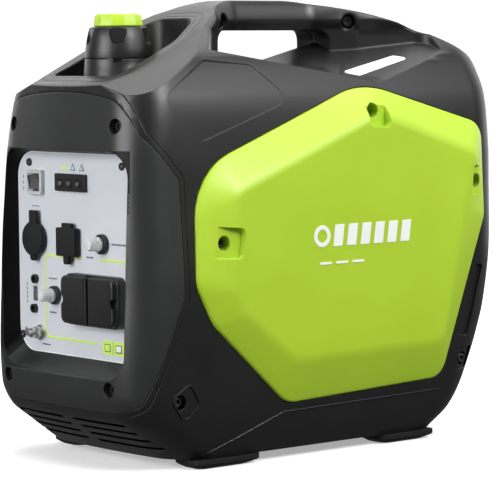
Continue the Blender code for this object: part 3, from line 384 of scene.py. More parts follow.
def rounded(outline, radii, steps=6):
    """A convex outline with each corner made an arc, all of one radius or each of its own."""
    points = []
    count = len(outline)
    if isinstance(radii, float):
        radii = [radii] * count
    for i, corner in enumerate(outline):
        corner = Vector(corner)
        back = (Vector(outline[i - 1]) - corner).normalized()
        ahead = (Vector(outline[(i + 1) % count]) - corner).normalized()
        half = math.acos(max(-1.0, min(1.0, back.dot(ahead)))) / 2
        centre = corner + (back + ahead).normalized() * radii[i] / math.sin(half)
        first = corner + back * radii[i] / math.tan(half) - centre
        last = corner + ahead * radii[i] / math.tan(half) - centre
        sweep = first.angle_signed(last)
        for k in range(steps + 1):
            turn = Matrix.Rotation(-sweep * k / steps, 2)
            points.append(tuple(centre + turn @ first))
    return points


def grown(outline, by):
    """A convex outline moved outward by a distance."""
    count = len(outline)
    area = sum(outline[i - 1][0] * outline[i][1] - outline[i][0] * outline[i - 1][1] for i in range(count))
    side = 1.0 if area > 0 else -1.0
    moved = []
    for i, corner in enumerate(outline):
        corner = Vector(corner)
        back = (corner - Vector(outline[i - 1])).normalized()
        ahead = (Vector(outline[(i + 1) % count]) - corner).normalized()
        out_back = Vector((back.y, -back.x)) * side
        out_ahead = Vector((ahead.y, -ahead.x)) * side
        middle = (out_back + out_ahead).normalized()
        moved.append(tuple(corner + middle * by / middle.dot(out_back)))
    return moved


def four_corners(half, low, high, middle=0.0):
    """A rectangle's four corners."""
    return [(middle - half, low), (middle + half, low), (middle + half, high), (middle - half, high)]


def rectangle(half, low, high, radius, middle=0.0, steps=6):
    return rounded(four_corners(half, low, high, middle), radius, steps)


def flipped(ob):
    """The same solid mirrored across X = 0."""
    twin = copy(ob)
    bm = bmesh.new()
    bm.from_mesh(twin.data)
    bmesh.ops.scale(bm, vec=(-1.0, 1.0, 1.0), verts=bm.verts)
    bmesh.ops.reverse_faces(bm, faces=bm.faces)
    bm.to_mesh(twin.data)
    bm.free()
    return twin


def place(ob, name, slot, surface, replaces=(), body="housing", smooth=35.0):
    """Names a finished piece, gives it its material, and lets it ride on a CAD body."""
    ob.name = name
    ob.data.name = name
    ob.data.materials.clear()
    ob.data.materials.append(surface)
    ob.data.shade_smooth()
    ob.data.set_sharp_from_angle(angle=math.radians(smooth))
    ob.location.z += LIFT
    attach(ob, body)
    if replaces:
        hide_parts(*replaces)
    return ob


# ---- the body's form ----------------------------------------------------------------------------
def eased(rows, at):
    """Values of a table's columns at a place in its first one, on a curve that doesn't overshoot."""
    keys = [row[0] for row in rows]
    at = min(max(at, keys[0]), keys[-1])
    i = min(max(bisect.bisect_right(keys, at), 1), len(rows) - 1)
    step = keys[i] - keys[i - 1]
    t = (at - keys[i - 1]) / step
    values = []
    for column in range(1, len(rows[0])):
        slopes = [
            (rows[n + 1][column] - rows[n][column]) / (keys[n + 1] - keys[n]) for n in range(len(rows) - 1)
        ]

        def tangent(n):
            if n in (0, len(rows) - 1):
                return slopes[min(n, len(slopes) - 1)]
            before = slopes[n - 1]
            after = slopes[n]
            return 0.0 if before * after <= 0.0 else 2.0 * before * after / (before + after)

        low = rows[i - 1][column]
        high = rows[i][column]
        start = tangent(i - 1) * step
        end = tangent(i) * step
        blend = t * t * (3.0 - 2.0 * t)
        swing = start * t * (1.0 - t) ** 2 - end * t * t * (1.0 - t)
        values.append(low + (high - low) * blend + swing)
    return values


def body_at(z):
    return eased(BODY, z)


def body_ring(z, inset, at_z=None):
    """The body's outline at a height, moved inward by a distance."""
    half, front, rear = body_at(z)
    half -= inset
    front += inset
    rear -= inset
    radius = min(CORNER_R - inset, half * 0.8)
    level = z if at_z is None else at_z
    flat = half - radius
    points = []
    for step in (-0.8, -0.6, -0.4, -0.2, 0.0, 0.2, 0.4, 0.6, 0.8):
        bow = FRONT_BULGE * (1.0 - step * step)
        points.append((flat * step, front - bow, level))
    corners = [
        (flat, front + radius, -90.0),
        (flat, rear - radius, 0.0),
        (-flat, rear - radius, 90.0),
        (-flat, front + radius, 180.0),
    ]
    for x, y, start in corners:
        for k in range(CORNER_STEPS + 1):
            angle = math.radians(start + 90.0 * k / CORNER_STEPS)
            points.append((x + radius * math.cos(angle), y + radius * math.sin(angle), level))
    return points


def roof_block(inset):
    """Everything under the roof profile, less an inset."""
    first = ROOF[0][0]
    last = ROOF[-1][0]
    count = 60
    spots = [first + (last - first) * k / count for k in range(count + 1)]
    top = [(y, eased(ROOF, y)[0] - inset) for y in spots]
    outline = [(-0.4, -0.1), (-0.4, top[0][1])] + top + [(0.4, top[-1][1]), (0.4, -0.1)]
    return prism(outline, "X", -0.2, 0.2)


def body_solid(inset, bottom=None):
    low = BODY[0][0]
    high = BODY[-1][0]
    count = round((high - low) / RING_STEP)
    rings = [body_ring(low + (high - low) * k / count, inset) for k in range(count + 1)]
    if bottom is not None:
        rings.insert(0, body_ring(low, inset, at_z=bottom))
    return keep(loft(rings), roof_block(inset), shoulder_block(inset))


def front_face(x, z):
    """Y of the body's front face at a place on it."""
    half, front, _ = body_at(z)
    flat = half - CORNER_R
    if abs(x) <= flat:
        return front - FRONT_BULGE * (1.0 - (x / flat) ** 2)
    over = abs(x) - flat
    return front + CORNER_R - math.sqrt(CORNER_R**2 - over**2)


def shoulder_block(inset):
    """Everything under the two bevels of the roof's front corners, less an inset."""
    base, along, outward = SHOULDER
    rings = []
    for y in (-0.4, 0.4):
        side, middle = [base - inset + along * y + outward * x for x in (0.3, 0.0)]
        rings.append(
            [(-0.3, y, -0.1), (0.3, y, -0.1), (0.3, y, side), (0.0, y, middle), (-0.3, y, side)]
        )
    return loft(rings)


def floor_slab(plane, side, inset):
    """The block under one of the trough's two floor planes."""
    base, along, outward = plane
    far = 0.25 * side
    rings = []
    for y in (-0.3, 0.3):
        heights = [base - inset + along * y + outward * abs(x) for x in (0.0, far)]
        rings.append([(0.0, y, 0.1), (far, y, 0.1), (far, y, heights[1]), (0.0, y, heights[0])])
    return loft(rings)


# ---- materials ----------------------------------------------------------------------------------
def node(tree, kind, **values):
    """A shader node with its properties and inputs set by name."""
    made = tree.nodes.new("ShaderNode" + kind)
    for name, value in values.items():
        if hasattr(made, name):
            setattr(made, name, value)
        else:
            made.inputs[name.replace("_", " ")].default_value = value
    return made


def noise(tree, scale, detail=3.0, roughness=0.55):
    """Noise over the object's own coordinates, about scale cells to the metre."""
    where = node(tree, "TexCoord")
    made = node(tree, "TexNoise", Scale=scale, Detail=detail, Roughness=roughness)
    tree.links.new(where.outputs["Object"], made.inputs["Vector"])
    return made.outputs["Fac"]


def ranged(tree, source, low, high, from_low=0.3, from_high=0.7):
    made = node(tree, "MapRange")
    tree.links.new(source, made.inputs["Value"])
    for name, value in zip(("From Min", "From Max", "To Min", "To Max"), (from_low, from_high, low, high)):
        made.inputs[name].default_value = value
    return made.outputs["Result"]


def surface(name, colour, rough, metal=0.0, grain=900.0, bump=0.15, mottle=0.08, edge=0.0008, **more):
    """A moulded, painted or metal surface: mottled colour, uneven gloss, fine grain and softened edges."""
    made = bpy.data.materials.new(name)
    made.use_nodes = True
    tree = made.node_tree
    link = tree.links.new
    shader = tree.nodes["Principled BSDF"]
    broad = noise(tree, 14.0, 4.0)
    fine = noise(tree, grain, 2.0)
    mix = node(tree, "Mix", data_type="RGBA")
    link(ranged(tree, broad, 0.0, 1.0), mix.inputs["Factor"])
    mix.inputs["A"].default_value = (*[c * (1.0 - mottle) for c in colour], 1.0)
    mix.inputs["B"].default_value = (*[min(c * (1.0 + mottle), 1.0) for c in colour], 1.0)
    link(mix.outputs["Result"], shader.inputs["Base Color"])
    gloss = node(tree, "Math", operation="MULTIPLY_ADD")
    link(fine, gloss.inputs[0])
    gloss.inputs[1].default_value = 0.16
    link(ranged(tree, broad, rough - 0.12, rough - 0.04), gloss.inputs[2])
    link(gloss.outputs["Value"], shader.inputs["Roughness"])
    shader.inputs["Metallic"].default_value = metal
    round_edge = node(tree, "Bevel", samples=6)
    round_edge.inputs["Radius"].default_value = edge
    rough_up = node(tree, "Bump", Strength=bump, Distance=0.0002)
    link(fine, rough_up.inputs["Height"])
    link(round_edge.outputs["Normal"], rough_up.inputs["Normal"])
    link(rough_up.outputs["Normal"], shader.inputs["Normal"])
    for label, value in more.items():
        shader.inputs[label.replace("_", " ")].default_value = value
    return made


SHELL_BLACK = (0.0065, 0.0068, 0.0065)


def shell_surface():
    """The shells' plastic, whose edges are moulded rounder round the handle than below."""
    made = surface("shell plastic", SHELL_BLACK, 0.36, grain=1400.0, bump=0.2, Specular_IOR_Level=0.50)
    tree = made.node_tree
    where = node(tree, "TexCoord")
    split = node(tree, "SeparateXYZ")
    tree.links.new(where.outputs["Object"], split.inputs["Vector"])
    radius = ranged(tree, split.outputs["Z"], 0.0009, 0.0040, 0.372, 0.392)
    tree.links.new(radius, next(n for n in tree.nodes if n.type == "BEVEL").inputs["Radius"])
    return made


SHELL = shell_surface()
BEZEL_BLACK = (0.020, 0.0205, 0.021)
BEZEL = surface("bezel plastic", BEZEL_BLACK, 0.38, grain=1400.0, edge=0.0012, Specular_IOR_Level=0.45)
RIDGE = surface(
    "ridge plastic", SHELL_BLACK, 0.26, grain=1400.0, bump=0.1, edge=0.0016, Specular_IOR_Level=0.60
)
# A darker, duller copy of the bezel's black plastic for the window's inner walls: painted shade in the
# recess.
PAINTED_RECESS_SHADE = surface("painted recess shade", (0.003, 0.003, 0.003), 0.5, grain=1400.0, Specular_IOR_Level=0.15)
LIME = surface("lime plastic", (0.40, 0.60, 0.028), 0.40, grain=600.0, bump=0.06, mottle=0.03, edge=0.0014)
BLACK = surface("black plastic", (0.009, 0.009, 0.009), 0.38, grain=1500.0, bump=0.2, edge=0.0007)
RUBBER = surface(
    "black rubber", (0.007, 0.007, 0.007), 0.60, grain=1100.0, bump=0.35, edge=0.0007, Specular_IOR_Level=0.3
)
PANEL = surface("panel paint", (0.60, 0.625, 0.67), 0.38, grain=2200.0, bump=0.08, mottle=0.02, edge=0.0004)
PANEL_RIM = surface("panel rim", (0.85, 0.86, 0.87), 0.35, grain=2200.0, bump=0.05, mottle=0.02)
LINE = surface("lime line", (0.62, 0.86, 0.16), 0.40, grain=2200.0, bump=0.05, mottle=0.02)
INK = surface("grey ink", (0.10, 0.10, 0.11), 0.50, grain=2200.0, bump=0.05)
PALE = surface("white print", (0.86, 0.88, 0.84), 0.38, grain=1500.0, bump=0.05, mottle=0.02)
STEEL = surface("zinc steel", (0.62, 0.62, 0.63), 0.30, 1.0, grain=2500.0, bump=0.15, edge=0.0003)
DARK_STEEL = surface("blacked steel", (0.055, 0.055, 0.058), 0.32, 0.7, grain=2500.0, bump=0.2, edge=0.0004)
ALUMINIUM = surface("cast aluminium", (0.55, 0.56, 0.57), 0.45, 1.0, grain=800.0, bump=0.5)
BRASS = surface("brass", (0.72, 0.53, 0.25), 0.30, 1.0, grain=1800.0, bump=0.15, edge=0.0003)
COPPER = surface("copper winding", (0.62, 0.27, 0.10), 0.35, 1.0, grain=700.0, bump=0.6)
WHITE = surface("white plastic", (0.80, 0.81, 0.80), 0.30, grain=1500.0, bump=0.08, mottle=0.02)
CLEAR = surface(
    "clear plastic", (0.90, 0.91, 0.91), 0.22, bump=0.05, mottle=0.02, Transmission_Weight=0.55, IOR=1.42
)
SMOKE = surface("smoked plastic", (0.09, 0.095, 0.10), 0.22, grain=1500.0, bump=0.05, mottle=0.03)
ROPE = surface("braided rope", (0.03, 0.03, 0.032), 0.80, grain=1500.0, bump=0.9)
NODE_SURFACES = dict(shell=SHELL, bezel=BEZEL, lime=LIME, panel=PANEL, black=BLACK, rubber=RUBBER)
NODE_SURFACES.update(white=WHITE, steel=STEEL, dark_steel=DARK_STEEL, aluminium=ALUMINIUM)
NODE_SURFACES.update(brass=BRASS, copper=COPPER, rope=ROPE)


def dress_nodes():
    """Every CAD node that stays visible takes the surface of its slot in the record."""
    for entry in frame["record"]["subparts"]:
        ob = frame["nodes"][entry["node"]]
        ob.data.materials.clear()
        ob.data.materials.append(NODE_SURFACES[entry["material_slot"]])


# ---- shells -------------------------------------------------------------------------------------
def handle_trough():
    """The trough's cutter on +X: its wall leans out under the handle's top, then goes in below a crease."""
    rounding = [0.004, 0.030, 0.030, 0.030, 0.030, 0.040, 0.020, 0.004]
    levels = [
        (0.300, 0.004),
        (0.420, 0.004),
        (0.4280, 0.004),
        (0.4330, 0.0005),
        (0.4365, -0.0020),
        (0.4380, -0.0022),
        (0.4500, 0.0010),
        (0.4550, 0.0030),
        (0.4580, 0.0052),
        (0.600, 0.0052),
    ]
    rings = []
    for z, shift in levels:
        rings.append([(x, y, z) for x, y in rounded(grown(TROUGH, shift), rounding, 8)])
    cutter = loft(rings)
    return cut(cutter, floor_slab(FLOOR_FRONT, 1, 0.0), floor_slab(FLOOR_REAR, 1, 0.0))


def groove(outline, along, span, width, depth):
    """A cutter for a line scored round an outline: width across, depth below the body's surface."""
    line = prism(grown(outline, width), along, *span)
    return cut(line, prism(outline, along, *span), body_solid(depth))


def cheek_pocket():
    """The cutter of the shallow facet above the side cover, deepest at its front end."""
    outline = [(-0.205, 0.361), (-0.163, 0.317), (-0.045, 0.356), (-0.085, 0.392), (-0.143, 0.397)]
    block = prism(rounded(outline, 0.010), "X", 0.05, 0.2)
    turned_body = body_solid(0.0026)
    pivot = Matrix.Translation((0.115, -0.190, 0.0))
    turned_body.data.transform(pivot @ Matrix.Rotation(math.radians(-1.0), 4, "Z") @ pivot.inverted())
    return cut(block, turned_body)


def make_shells():
    outer = body_solid(0.0)
    hollow = body_solid(WALL, bottom=-0.02)
    cut(hollow, box((-0.2, -0.205, 0.30), (0.2, 0.3, 0.7)))
    bowl = rounded(BOWL, BOWL_R, 8)
    cut(hollow, prism(grown(bowl, WALL), "Z", BOWL_FLOOR - WALL, 0.60))

    bezel_block = prism(rounded(BEZEL_EDGE, 0.003, 3), "X", -0.2, 0.2)
    make_bezel(keep(copy(outer), bezel_block), copy(hollow))
    make_tray(copy(outer), bowl)
    make_rear_cover()

    body = keep(outer, box((GAP / 2, -0.4, -0.1), (0.4, 0.4, 0.6)))
    tub = prism(rounded(grown(COVER_EDGE, GAP + WALL), COVER_EDGE_R), "X", LEDGE_X - WALL, 0.21)
    cut(hollow, tub)
    recess = prism(rounded(grown(COVER_EDGE, GAP * 3), COVER_EDGE_R), "X", LEDGE_X, 0.20)
    rear_hole = prism(rectangle(REAR_HALF, REAR_Z[0], REAR_Z[1], 0.012), "Y", 0.15, 0.30)
    front_cut = prism(rounded(grown(BEZEL_EDGE, GAP * 2), 0.003, 3), "X", -0.2, 0.2)
    cut(body, hollow, rear_hole, recess, front_cut)
    cut(body, handle_trough())
    finger = [
        (FINGER_Y[0], 0.380),
        (FINGER_Y[1], 0.380),
        (FINGER_Y[1], FINGER_TOP),
        (FINGER_Y[0], FINGER_TOP),
    ]
    opening = prism(rounded(finger, [0.001, 0.001, 0.012, 0.012]), "X", -0.001, 0.1)
    cut(body, cut(opening, floor_slab(FLOOR_FRONT, 1, 0.0), floor_slab(FLOOR_REAR, 1, 0.0)))
    cut(body, prism(grown(bowl, GAP), "Z", 0.355, 0.60))
    cut(body, groove(grown(bowl, 0.0078), "Z", (0.36, 0.60), 0.0007, 0.0007))
    cut(body, groove(grown(BEZEL_EDGE, 0.0056), "X", (0.0, 0.2), 0.0007, 0.0007))
    for y, z in SHELL_SCREWS:
        half = body_at(z)[0]
        cut(body, rod_x(half - 0.009, 0.16, y, z, 0.0075))
    cut(body, cheek_pocket())
    slot = rounded([(0.203, 0.176), (0.215, 0.176), (0.190, 0.100), (0.172, 0.104)], 0.003)
    cut(body, cut(prism(slot, "X", 0.08, 0.2), body_solid(0.0026)))
    seat = rounded([(0.176, 0.064), (0.199, 0.066), (0.203, 0.089), (0.178, 0.088)], 0.003)
    cut(body, cut(prism(seat, "X", 0.08, 0.2), body_solid(0.0022)))
    for (x, y, z), (nx, ny) in HANDLE_SCREWS:
        inner = (x - nx * 0.010, y - ny * 0.010, z)
        cut(body, rod(inner, (x + nx * 0.030, y + ny * 0.030, z), 0.0080))
    for index in range(4):
        low = 0.0150 + 0.0083 * index
        end = 0.104 - 0.0045 * index
        slot = rectangle((end - 0.008) / 2, low, low + 0.003, 0.0012, (end + 0.008) / 2)
        cut(body, prism(slot, "Y", -0.28, -0.17))
    left = flipped(body)
    place(body, "shell_moulding_right", "shell", SHELL, ["right_shell"])
    place(left, "shell_moulding_left", "shell", SHELL, ["left_shell"])


def make_bezel(bezel, hollow):
    rim = four_corners(WINDOW_HALF + 0.007, WINDOW_Z[0] - 0.007, WINDOW_Z[1] + 0.007)
    frame_block = prism(rounded(rim, WINDOW_R + 0.007, 12), "Y", -0.30, PANEL_Y + 0.0048)
    cut(hollow, frame_block)
    for x, z in BEZEL_SCREWS:
        face = front_face(x, z)
        cut(hollow, rod_y(x, z, face + 0.014, face - 0.03, 0.0105))
    cut(bezel, hollow)
    rings = []
    mouth = four_corners(WINDOW_HALF, WINDOW_Z[0], WINDOW_Z[1])
    inner = four_corners(0.0995, 0.1010, 0.3060)
    for y, edge in ((-0.300, mouth), (-0.2440, mouth), (PANEL_Y - GAP, inner), (PANEL_Y + 0.02, inner)):
        rings.append([(x, y, z) for x, z in rounded(edge, WINDOW_R, 12)])
    cut(bezel, loft(rings))
    for x, z in BEZEL_SCREWS:
        face = front_face(x, z)
        cut(bezel, rod_y(x, z, face + 0.010, face - 0.03, 0.0075))
    place(bezel, "bezel_moulding", "bezel", BEZEL, ["front_bezel"])
    # Painted shade: the window's inner walls, except those facing up, take the darker copy of the plastic so
    # the recess looks shaded.
    bezel.data.materials.append(PAINTED_RECESS_SHADE)
    for face in bezel.data.polygons:
        x, y, z = face.center
        within = abs(x) < WINDOW_HALF + 0.0003 and WINDOW_Z[0] - 0.001 < z < WINDOW_Z[1] + 0.001
        if within and y > -0.2440 and face.normal.z < 0.5:
            face.material_index = 1


def make_tray(tray, bowl):
    keep(tray, prism(bowl, "Z", 0.356, 0.60))
    levels = [(BOWL_FLOOR, 0.0075), (BOWL_FLOOR + 0.002, 0.0052), (BOWL_FLOOR + 0.006, 0.004), (0.60, 0.003)]
    cut(tray, loft([[(x, y, z) for x, y in grown(bowl, -inset)] for z, inset in levels]))
    cut(tray, rod((0, CAP_Y, 0.34), (0, CAP_Y, 0.40), 0.0232, 40))
    place(tray, "fuel_bowl", "black", SHELL, ["fuel_tray"])


def make_rear_cover():
    cover = prism(rectangle(REAR_HALF - GAP, REAR_Z[0] + GAP, REAR_Z[1] - GAP, 0.012), "Y", 0.15, 0.30)
    keep(cover, body_solid(REAR_SUNK))
    cut(cover, body_solid(REAR_SUNK + WALL))
    for first, count, low_x in ((0.205, 9, -0.070), (0.098, 7, 0.005)):
        for index in range(count):
            low = first + 0.011 * index
            slot = rectangle((0.070 - low_x) / 2, low, low + 0.0035, 0.0016, (0.070 + low_x) / 2)
            cut(cover, prism(slot, "Y", 0.20, 0.30))
    x, z = EXHAUST_AT
    cut(cover, rod_y(x, z, 0.18, 0.30, 0.0265, 48))
    place(cover, "rear_cover_moulding", "shell", SHELL, ["rear_cover"])


# ---- side covers --------------------------------------------------------------------------------
def curve_between(start, turn, end, steps):
    """Points on a curve that leaves start toward turn and reaches end from it."""
    spots = [k / steps for k in range(steps + 1)]
    return [start * (1 - t) ** 2 + turn * 2 * t * (1 - t) + end * t * t for t in spots]


def cover_skin(side):
    """A side cover's outer form: a rounded rim, a sloping band and a plateau, with soft creases."""
    edge = rounded(COVER_EDGE, COVER_EDGE_R, 8)
    flat = rounded(COVER_FLAT, COVER_FLAT_R, 8)
    inner = rounded(grown(COVER_FLAT, -0.006), [max(r - 0.006, 0.004) for r in COVER_FLAT_R], 8)
    rings = None
    for (ey, ez), (fy, fz), (iy, iz) in zip(edge, flat, inner):
        rim = Vector((body_at(ez)[0] + COVER_PROUD, ey, ez))
        crest = Vector((COVER_FACE, fy, fz))
        top = Vector((COVER_FACE, iy, iz))
        band = crest - rim
        along = band.normalized()
        wall = rim - Vector((0.0022, 0, 0))
        column = [Vector((LEDGE_X + GAP, ey, ez))]
        column += curve_between(wall, rim, rim + along * 0.0030, 4)
        column += [rim + band * t for t in (0.35, 0.6)]
        column += curve_between(crest - along * 0.008, crest, top, 6)
        if rings is None:
            rings = [[] for _ in column]
        for ring, point in zip(rings, column):
            ring.append((point.x * side, point.y, point.z))
    return loft(rings)


def cover_pocket(y, z, side):
    """The cutter of one fastener's straight pocket."""
    return rod_x(side * (body_at(z)[0] + COVER_PROUD - 0.005), side * 0.16, y, z, 0.0076)


COVER_SEATS = [
    ([(-0.161, 0.204), (-0.129, 0.202), (-0.125, 0.232), (-0.161, 0.235)], 0.1378),
    ([(0.040, 0.328), (0.070, 0.326), (0.068, 0.357), (0.042, 0.359)], 0.1345),
    ([(0.188, 0.251), (0.207, 0.251), (0.208, 0.281), (0.188, 0.284)], 0.1350),
]


def make_side_cover(side, name, replaces):
    cover = cover_skin(side)
    for y, z in COVER_SCREWS:
        cut(cover, cover_pocket(y, z, side))
    for outline, floor in COVER_SEATS:
        cut(cover, prism(rounded(outline, 0.006), "X", side * floor, side * 0.2))
    if side < 0:
        y, z = ROPE_AT
        grip = rectangle(0.021, z - 0.040, z + 0.040, 0.012, y)
        cut(cover, prism(grip, "X", -GRIP_FLOOR, -0.2))
        cut(cover, rod_x(-KNOB_FLOOR, -0.2, *KNOB_AT, 0.0245, 48))
        cut(cover, rod_x(-0.10, -0.15, y, z, 0.0082))
        cut(cover, rod_x(-0.10, -0.15, *KNOB_AT, 0.0042))
    place(cover, name, "lime", LIME, [replaces], smooth=30.0)


# ---- fasteners ----------------------------------------------------------------------------------
def socket_screw(name, head, direction, radius=0.0053, replaces=()):
    """A cap screw with a rounded rim and a hexagon socket, its head's outer face at a point."""
    at = Vector(head)
    out = Vector(direction).normalized()
    profile = [
        (0.0, -0.0045),
        (radius, -0.0045),
        (radius, -0.0009),
        (radius - 0.0003, -0.0003),
        (radius - 0.0010, 0.0),
        (0.0, 0.0),
    ]
    body = turned(profile, at, out, 40)
    cut(body, rod(at - out * 0.0026, at + out * 0.002, radius * 0.52, 6))
    return place(body, name, "dark_steel", DARK_STEEL, replaces, smooth=30.0)


def make_screws():
    for number, (x, z) in enumerate(BEZEL_SCREWS, 1):
        head = (x, front_face(x, z) + 0.0050, z)
        socket_screw(f"screw_bezel_{number}", head, (0, -1, 0), replaces=[f"bezel_screw_{number}"])
    for end, (x, z) in enumerate(REAR_SCREWS, 1):
        head = (x, body_at(z)[2] - REAR_SUNK + 0.0018, z)
        socket_screw(f"screw_rear_{end}", head, (0, 1, 0))
    for end, (x, z) in enumerate(PANEL_SCREWS, 1):
        socket_screw(f"screw_panel_{end}", (x, PANEL_Y - 0.0022, z), (0, -1, 0), 0.0040)
    for word, side in SIDES:
        for end, ((x, y, z), (nx, ny)) in enumerate(HANDLE_SCREWS, 1):
            head = (side * (x - nx * 0.0055), y - ny * 0.0055, z)
            socket_screw(f"screw_handle_{word}_{end}", head, (side * nx, ny, 0))
        for end, (y, z) in enumerate(SHELL_SCREWS, 1):
            socket_screw(f"screw_shell_{word}_{end}", (side * (body_at(z)[0] - 0.0040), y, z), (side, 0, 0))
        for end, (y, z) in enumerate(COVER_SCREWS, 1):
            reach = body_at(z)[0] + COVER_PROUD - 0.0010
            socket_screw(f"screw_cover_{word}_{end}", (side * reach, y, z), (side, 0, 0))


def make_screw_frame(side, word):
    """The raised rhombus round a lower shell screw."""
    y, z = SHELL_SCREWS[0]
    rhombus = [(-0.010, 0.003), (0.006, -0.019), (0.024, -0.003), (0.012, 0.017)]
    shape = rounded([(y + a, z + b) for a, b in rhombus], 0.005)
    ring = prism(grown(shape, 0.0014), "X", side * 0.08, side * 0.2)
    cut(ring, prism(shape, "X", side * 0.07, side * 0.21))
    keep(ring, body_solid(-0.0013))
    cut(ring, body_solid(0.0006))
    place(ring, f"screw_frame_{word}", "shell", SHELL)


def make_crease(side, word):
    """The moulded ridge that climbs from the front foot and runs on under the side cover."""
    line = [(-0.1665, 0.0085), (-0.0655, 0.0440), (0.150, 0.0475)]
    line += [(0.150, 0.0462), (-0.0650, 0.0425), (-0.1650, 0.0073)]
    ridge = keep(prism(line, "X", side * 0.08, side * 0.2), body_solid(-0.0012))
    place(cut(ridge, body_solid(0.0006)), f"crease_{word}", "shell", RIDGE)


# ---- fuel filler --------------------------------------------------------------------------------
def spun(ob, degrees):
    """Turns a solid about the filler's axis."""
    about = Matrix.Translation((0, CAP_Y, 0))
    ob.data.transform(about @ Matrix.Rotation(math.radians(degrees), 4, "Z") @ about.inverted())
    return ob


def make_filler():
    base = BOWL_FLOOR + GAP
    collar = turned(
        [
            (0.0236, 0.3990),
            (0.0334, 0.3990),
            (0.0341, 0.3983),
            (0.0345, 0.3900),
            (0.0350, 0.3890),
            (0.0365, base + 0.004),
            (0.0385, base),
            (0.0236, base),
        ],
        (0, CAP_Y, 0),
        steps=96,
    )
    cut(collar, spun(box((0.030, CAP_Y - 0.0045, 0.3952), (0.04, CAP_Y + 0.0045, 0.402)), -38.0))
    place(collar, "filler_ring", "black", BLACK, ["filler_collar"], smooth=30.0)
    cap = turned(
        [
            (0.0030, 0.4310),
            (0.0262, 0.4310),
            (0.0284, 0.4304),
            (0.0296, 0.4288),
            (0.0318, 0.4190),
            (0.0334, 0.4090),
            (0.0341, 0.4010),
            (0.0338, 0.3996),
            (0.0330, 0.3993),
            (0.0232, 0.3993),
            (0.0232, 0.4203),
            (0.0030, 0.4203),
        ],
        (0, CAP_Y, 0),
        steps=96,
    )
    flute = [(-0.0095, 0.440), (-0.0088, 0.4240), (-0.0055, 0.4130)]
    flute += [(-a, b) for a, b in reversed(flute)]
    shape = rounded([(CAP_Y + a, b) for a, b in flute], [0.001, 0.012, 0.0050, 0.0050, 0.012, 0.001], 8)
    for k in range(5):
        cut(cap, spun(prism(shape, "X", 0.0284, 0.05), -38.0 + 72.0 * k))
    place(cap, "fuel_cap_moulding", "black", BLACK, ["fuel_cap"], body="cap", smooth=30.0)
    levels = [(0.4313, 0.0246), (0.4322, 0.0256), (0.4410, 0.0243), (0.4432, 0.0232), (0.4440, 0.0212)]
    turns = [math.radians(30.0 * k + 8.0) for k in range(12)]
    knob = loft([[(r * math.cos(t), CAP_Y + r * math.sin(t), z) for t in turns] for z, r in levels])
    cut(knob, turned([(0.0, 0.4432), (0.0150, 0.4432), (0.0165, 0.4460), (0.0, 0.4460)], (0, CAP_Y, 0)))
    place(knob, "vent_knob_moulding", "lime", LIME, ["fuel_cap_vent_knob"], body="vent_knob", smooth=20.0)


# ---- control panel ------------------------------------------------------------------------------
def plates(outlines, along, start, end):
    """Several separate flat outlines pushed along an axis, as one mesh."""
    bm = bmesh.new()
    for outline in outlines:
        near, far = [[bm.verts.new(PLACES[along](a, b, t)) for a, b in outline] for t in (start, end)]
        for i in range(len(outline)):
            j = (i + 1) % len(outline)
            bm.faces.new((near[i], near[j], far[j], far[i]))
        bm.faces.new(near)
        bm.faces.new(far)
    return piece(bm)


def flat(name, outlines, surface, slot, proud=0.0003):
    """Thin printed shapes lying on the panel."""
    place(plates(outlines, "Y", PANEL_Y + 0.0002, PANEL_Y - proud), name, slot, surface)


def panel_turned(profile, x, z, front=FRONT, steps=48):
    """An outline turned about an axis square to the panel."""
    return turned(profile, (x, front, z), (0, -1, 0), steps)


def dashes(x, z, lengths, height=0.0018):
    """A row of short printed dashes that starts at a place."""
    shapes = []
    for length in lengths:
        shapes.append(rectangle(length / 2, z - height / 2, z + height / 2, height * 0.2, x + length / 2, 2))
        x += length + 0.0009
    return shapes


def make_panel():
    edge = rounded(four_corners(0.1055, 0.0870, 0.3090), WINDOW_R, 12)
    plate = prism(edge, "Y", PANEL_Y, PANEL_Y + PANEL_T)
    through = [
        panel_block(*ECO_AT, 0.0113, 0.0108, -0.3, -0.2),
        panel_block(*LAMP_AT, 0.0243, 0.0073, -0.3, -0.2),
        panel_block(*USB_AT, 0.0138, 0.0093, -0.3, -0.2),
        panel_block(*OUTLET_MIDDLE, 0.0403, 0.0223, -0.3, -0.2),
        rod_y(*DC_AT, -0.25, -0.2, 0.0138),
        rod_y(*GROUND_AT, -0.25, -0.2, 0.0033),
    ]
    for x, z in (DC_BREAKER_AT, AC_BREAKER_AT):
        through.append(rod_y(x, z, -0.25, -0.2, 0.0058))
    for x, z in PARALLEL_AT:
        through.append(rod_y(x, z, -0.25, -0.2, 0.0047))
    cut(plate, *through)
    place(plate, "panel_plate", "panel", PANEL, ["control_panel"])
    edge = rounded(four_corners(0.0993, 0.1012, 0.3058), 0.0258, 12)
    rim = prism(edge, "Y", PANEL_Y - 0.0005, PANEL_Y + 0.0004)
    cut(rim, prism(grown(edge, -0.0010), "Y", PANEL_Y - 0.01, PANEL_Y + 0.01))
    place(rim, "panel_edge", "panel", PANEL_RIM)
    track = rounded([(-0.054, 0.1175), (0.150, 0.1175), (0.150, 0.2010), (-0.054, 0.2010)], 0.007)
    line = prism(grown(track, 0.0011), "Y", PANEL_Y - 0.0003, PANEL_Y + 0.0004)
    cut(line, prism(grown(track, -0.0011), "Y", PANEL_Y - 0.01, PANEL_Y + 0.01))
    cut(line, box((0.0985, -0.3, 0.08), (0.2, -0.2, 0.25)), box((0.034, -0.3, 0.10), (0.12, -0.2, 0.13)))
    cut(line, box((0.010, -0.3, 0.19), (0.040, -0.2, 0.21)))
    place(line, "panel_line", "panel", LINE)


def panel_block(x, z, half_x, half_z, front, back, radius=0.001):
    return prism(rectangle(half_x, z - half_z, z + half_z, radius, x), "Y", front, back)


def pad(x, z, half_x, half_z, back, front, radius, edge):
    """A block standing on the panel with a rounded outline and a rounded-over rim."""
    return cushion(rectangle(half_x, z - half_z, z + half_z, radius, x), "Y", back, front, edge)


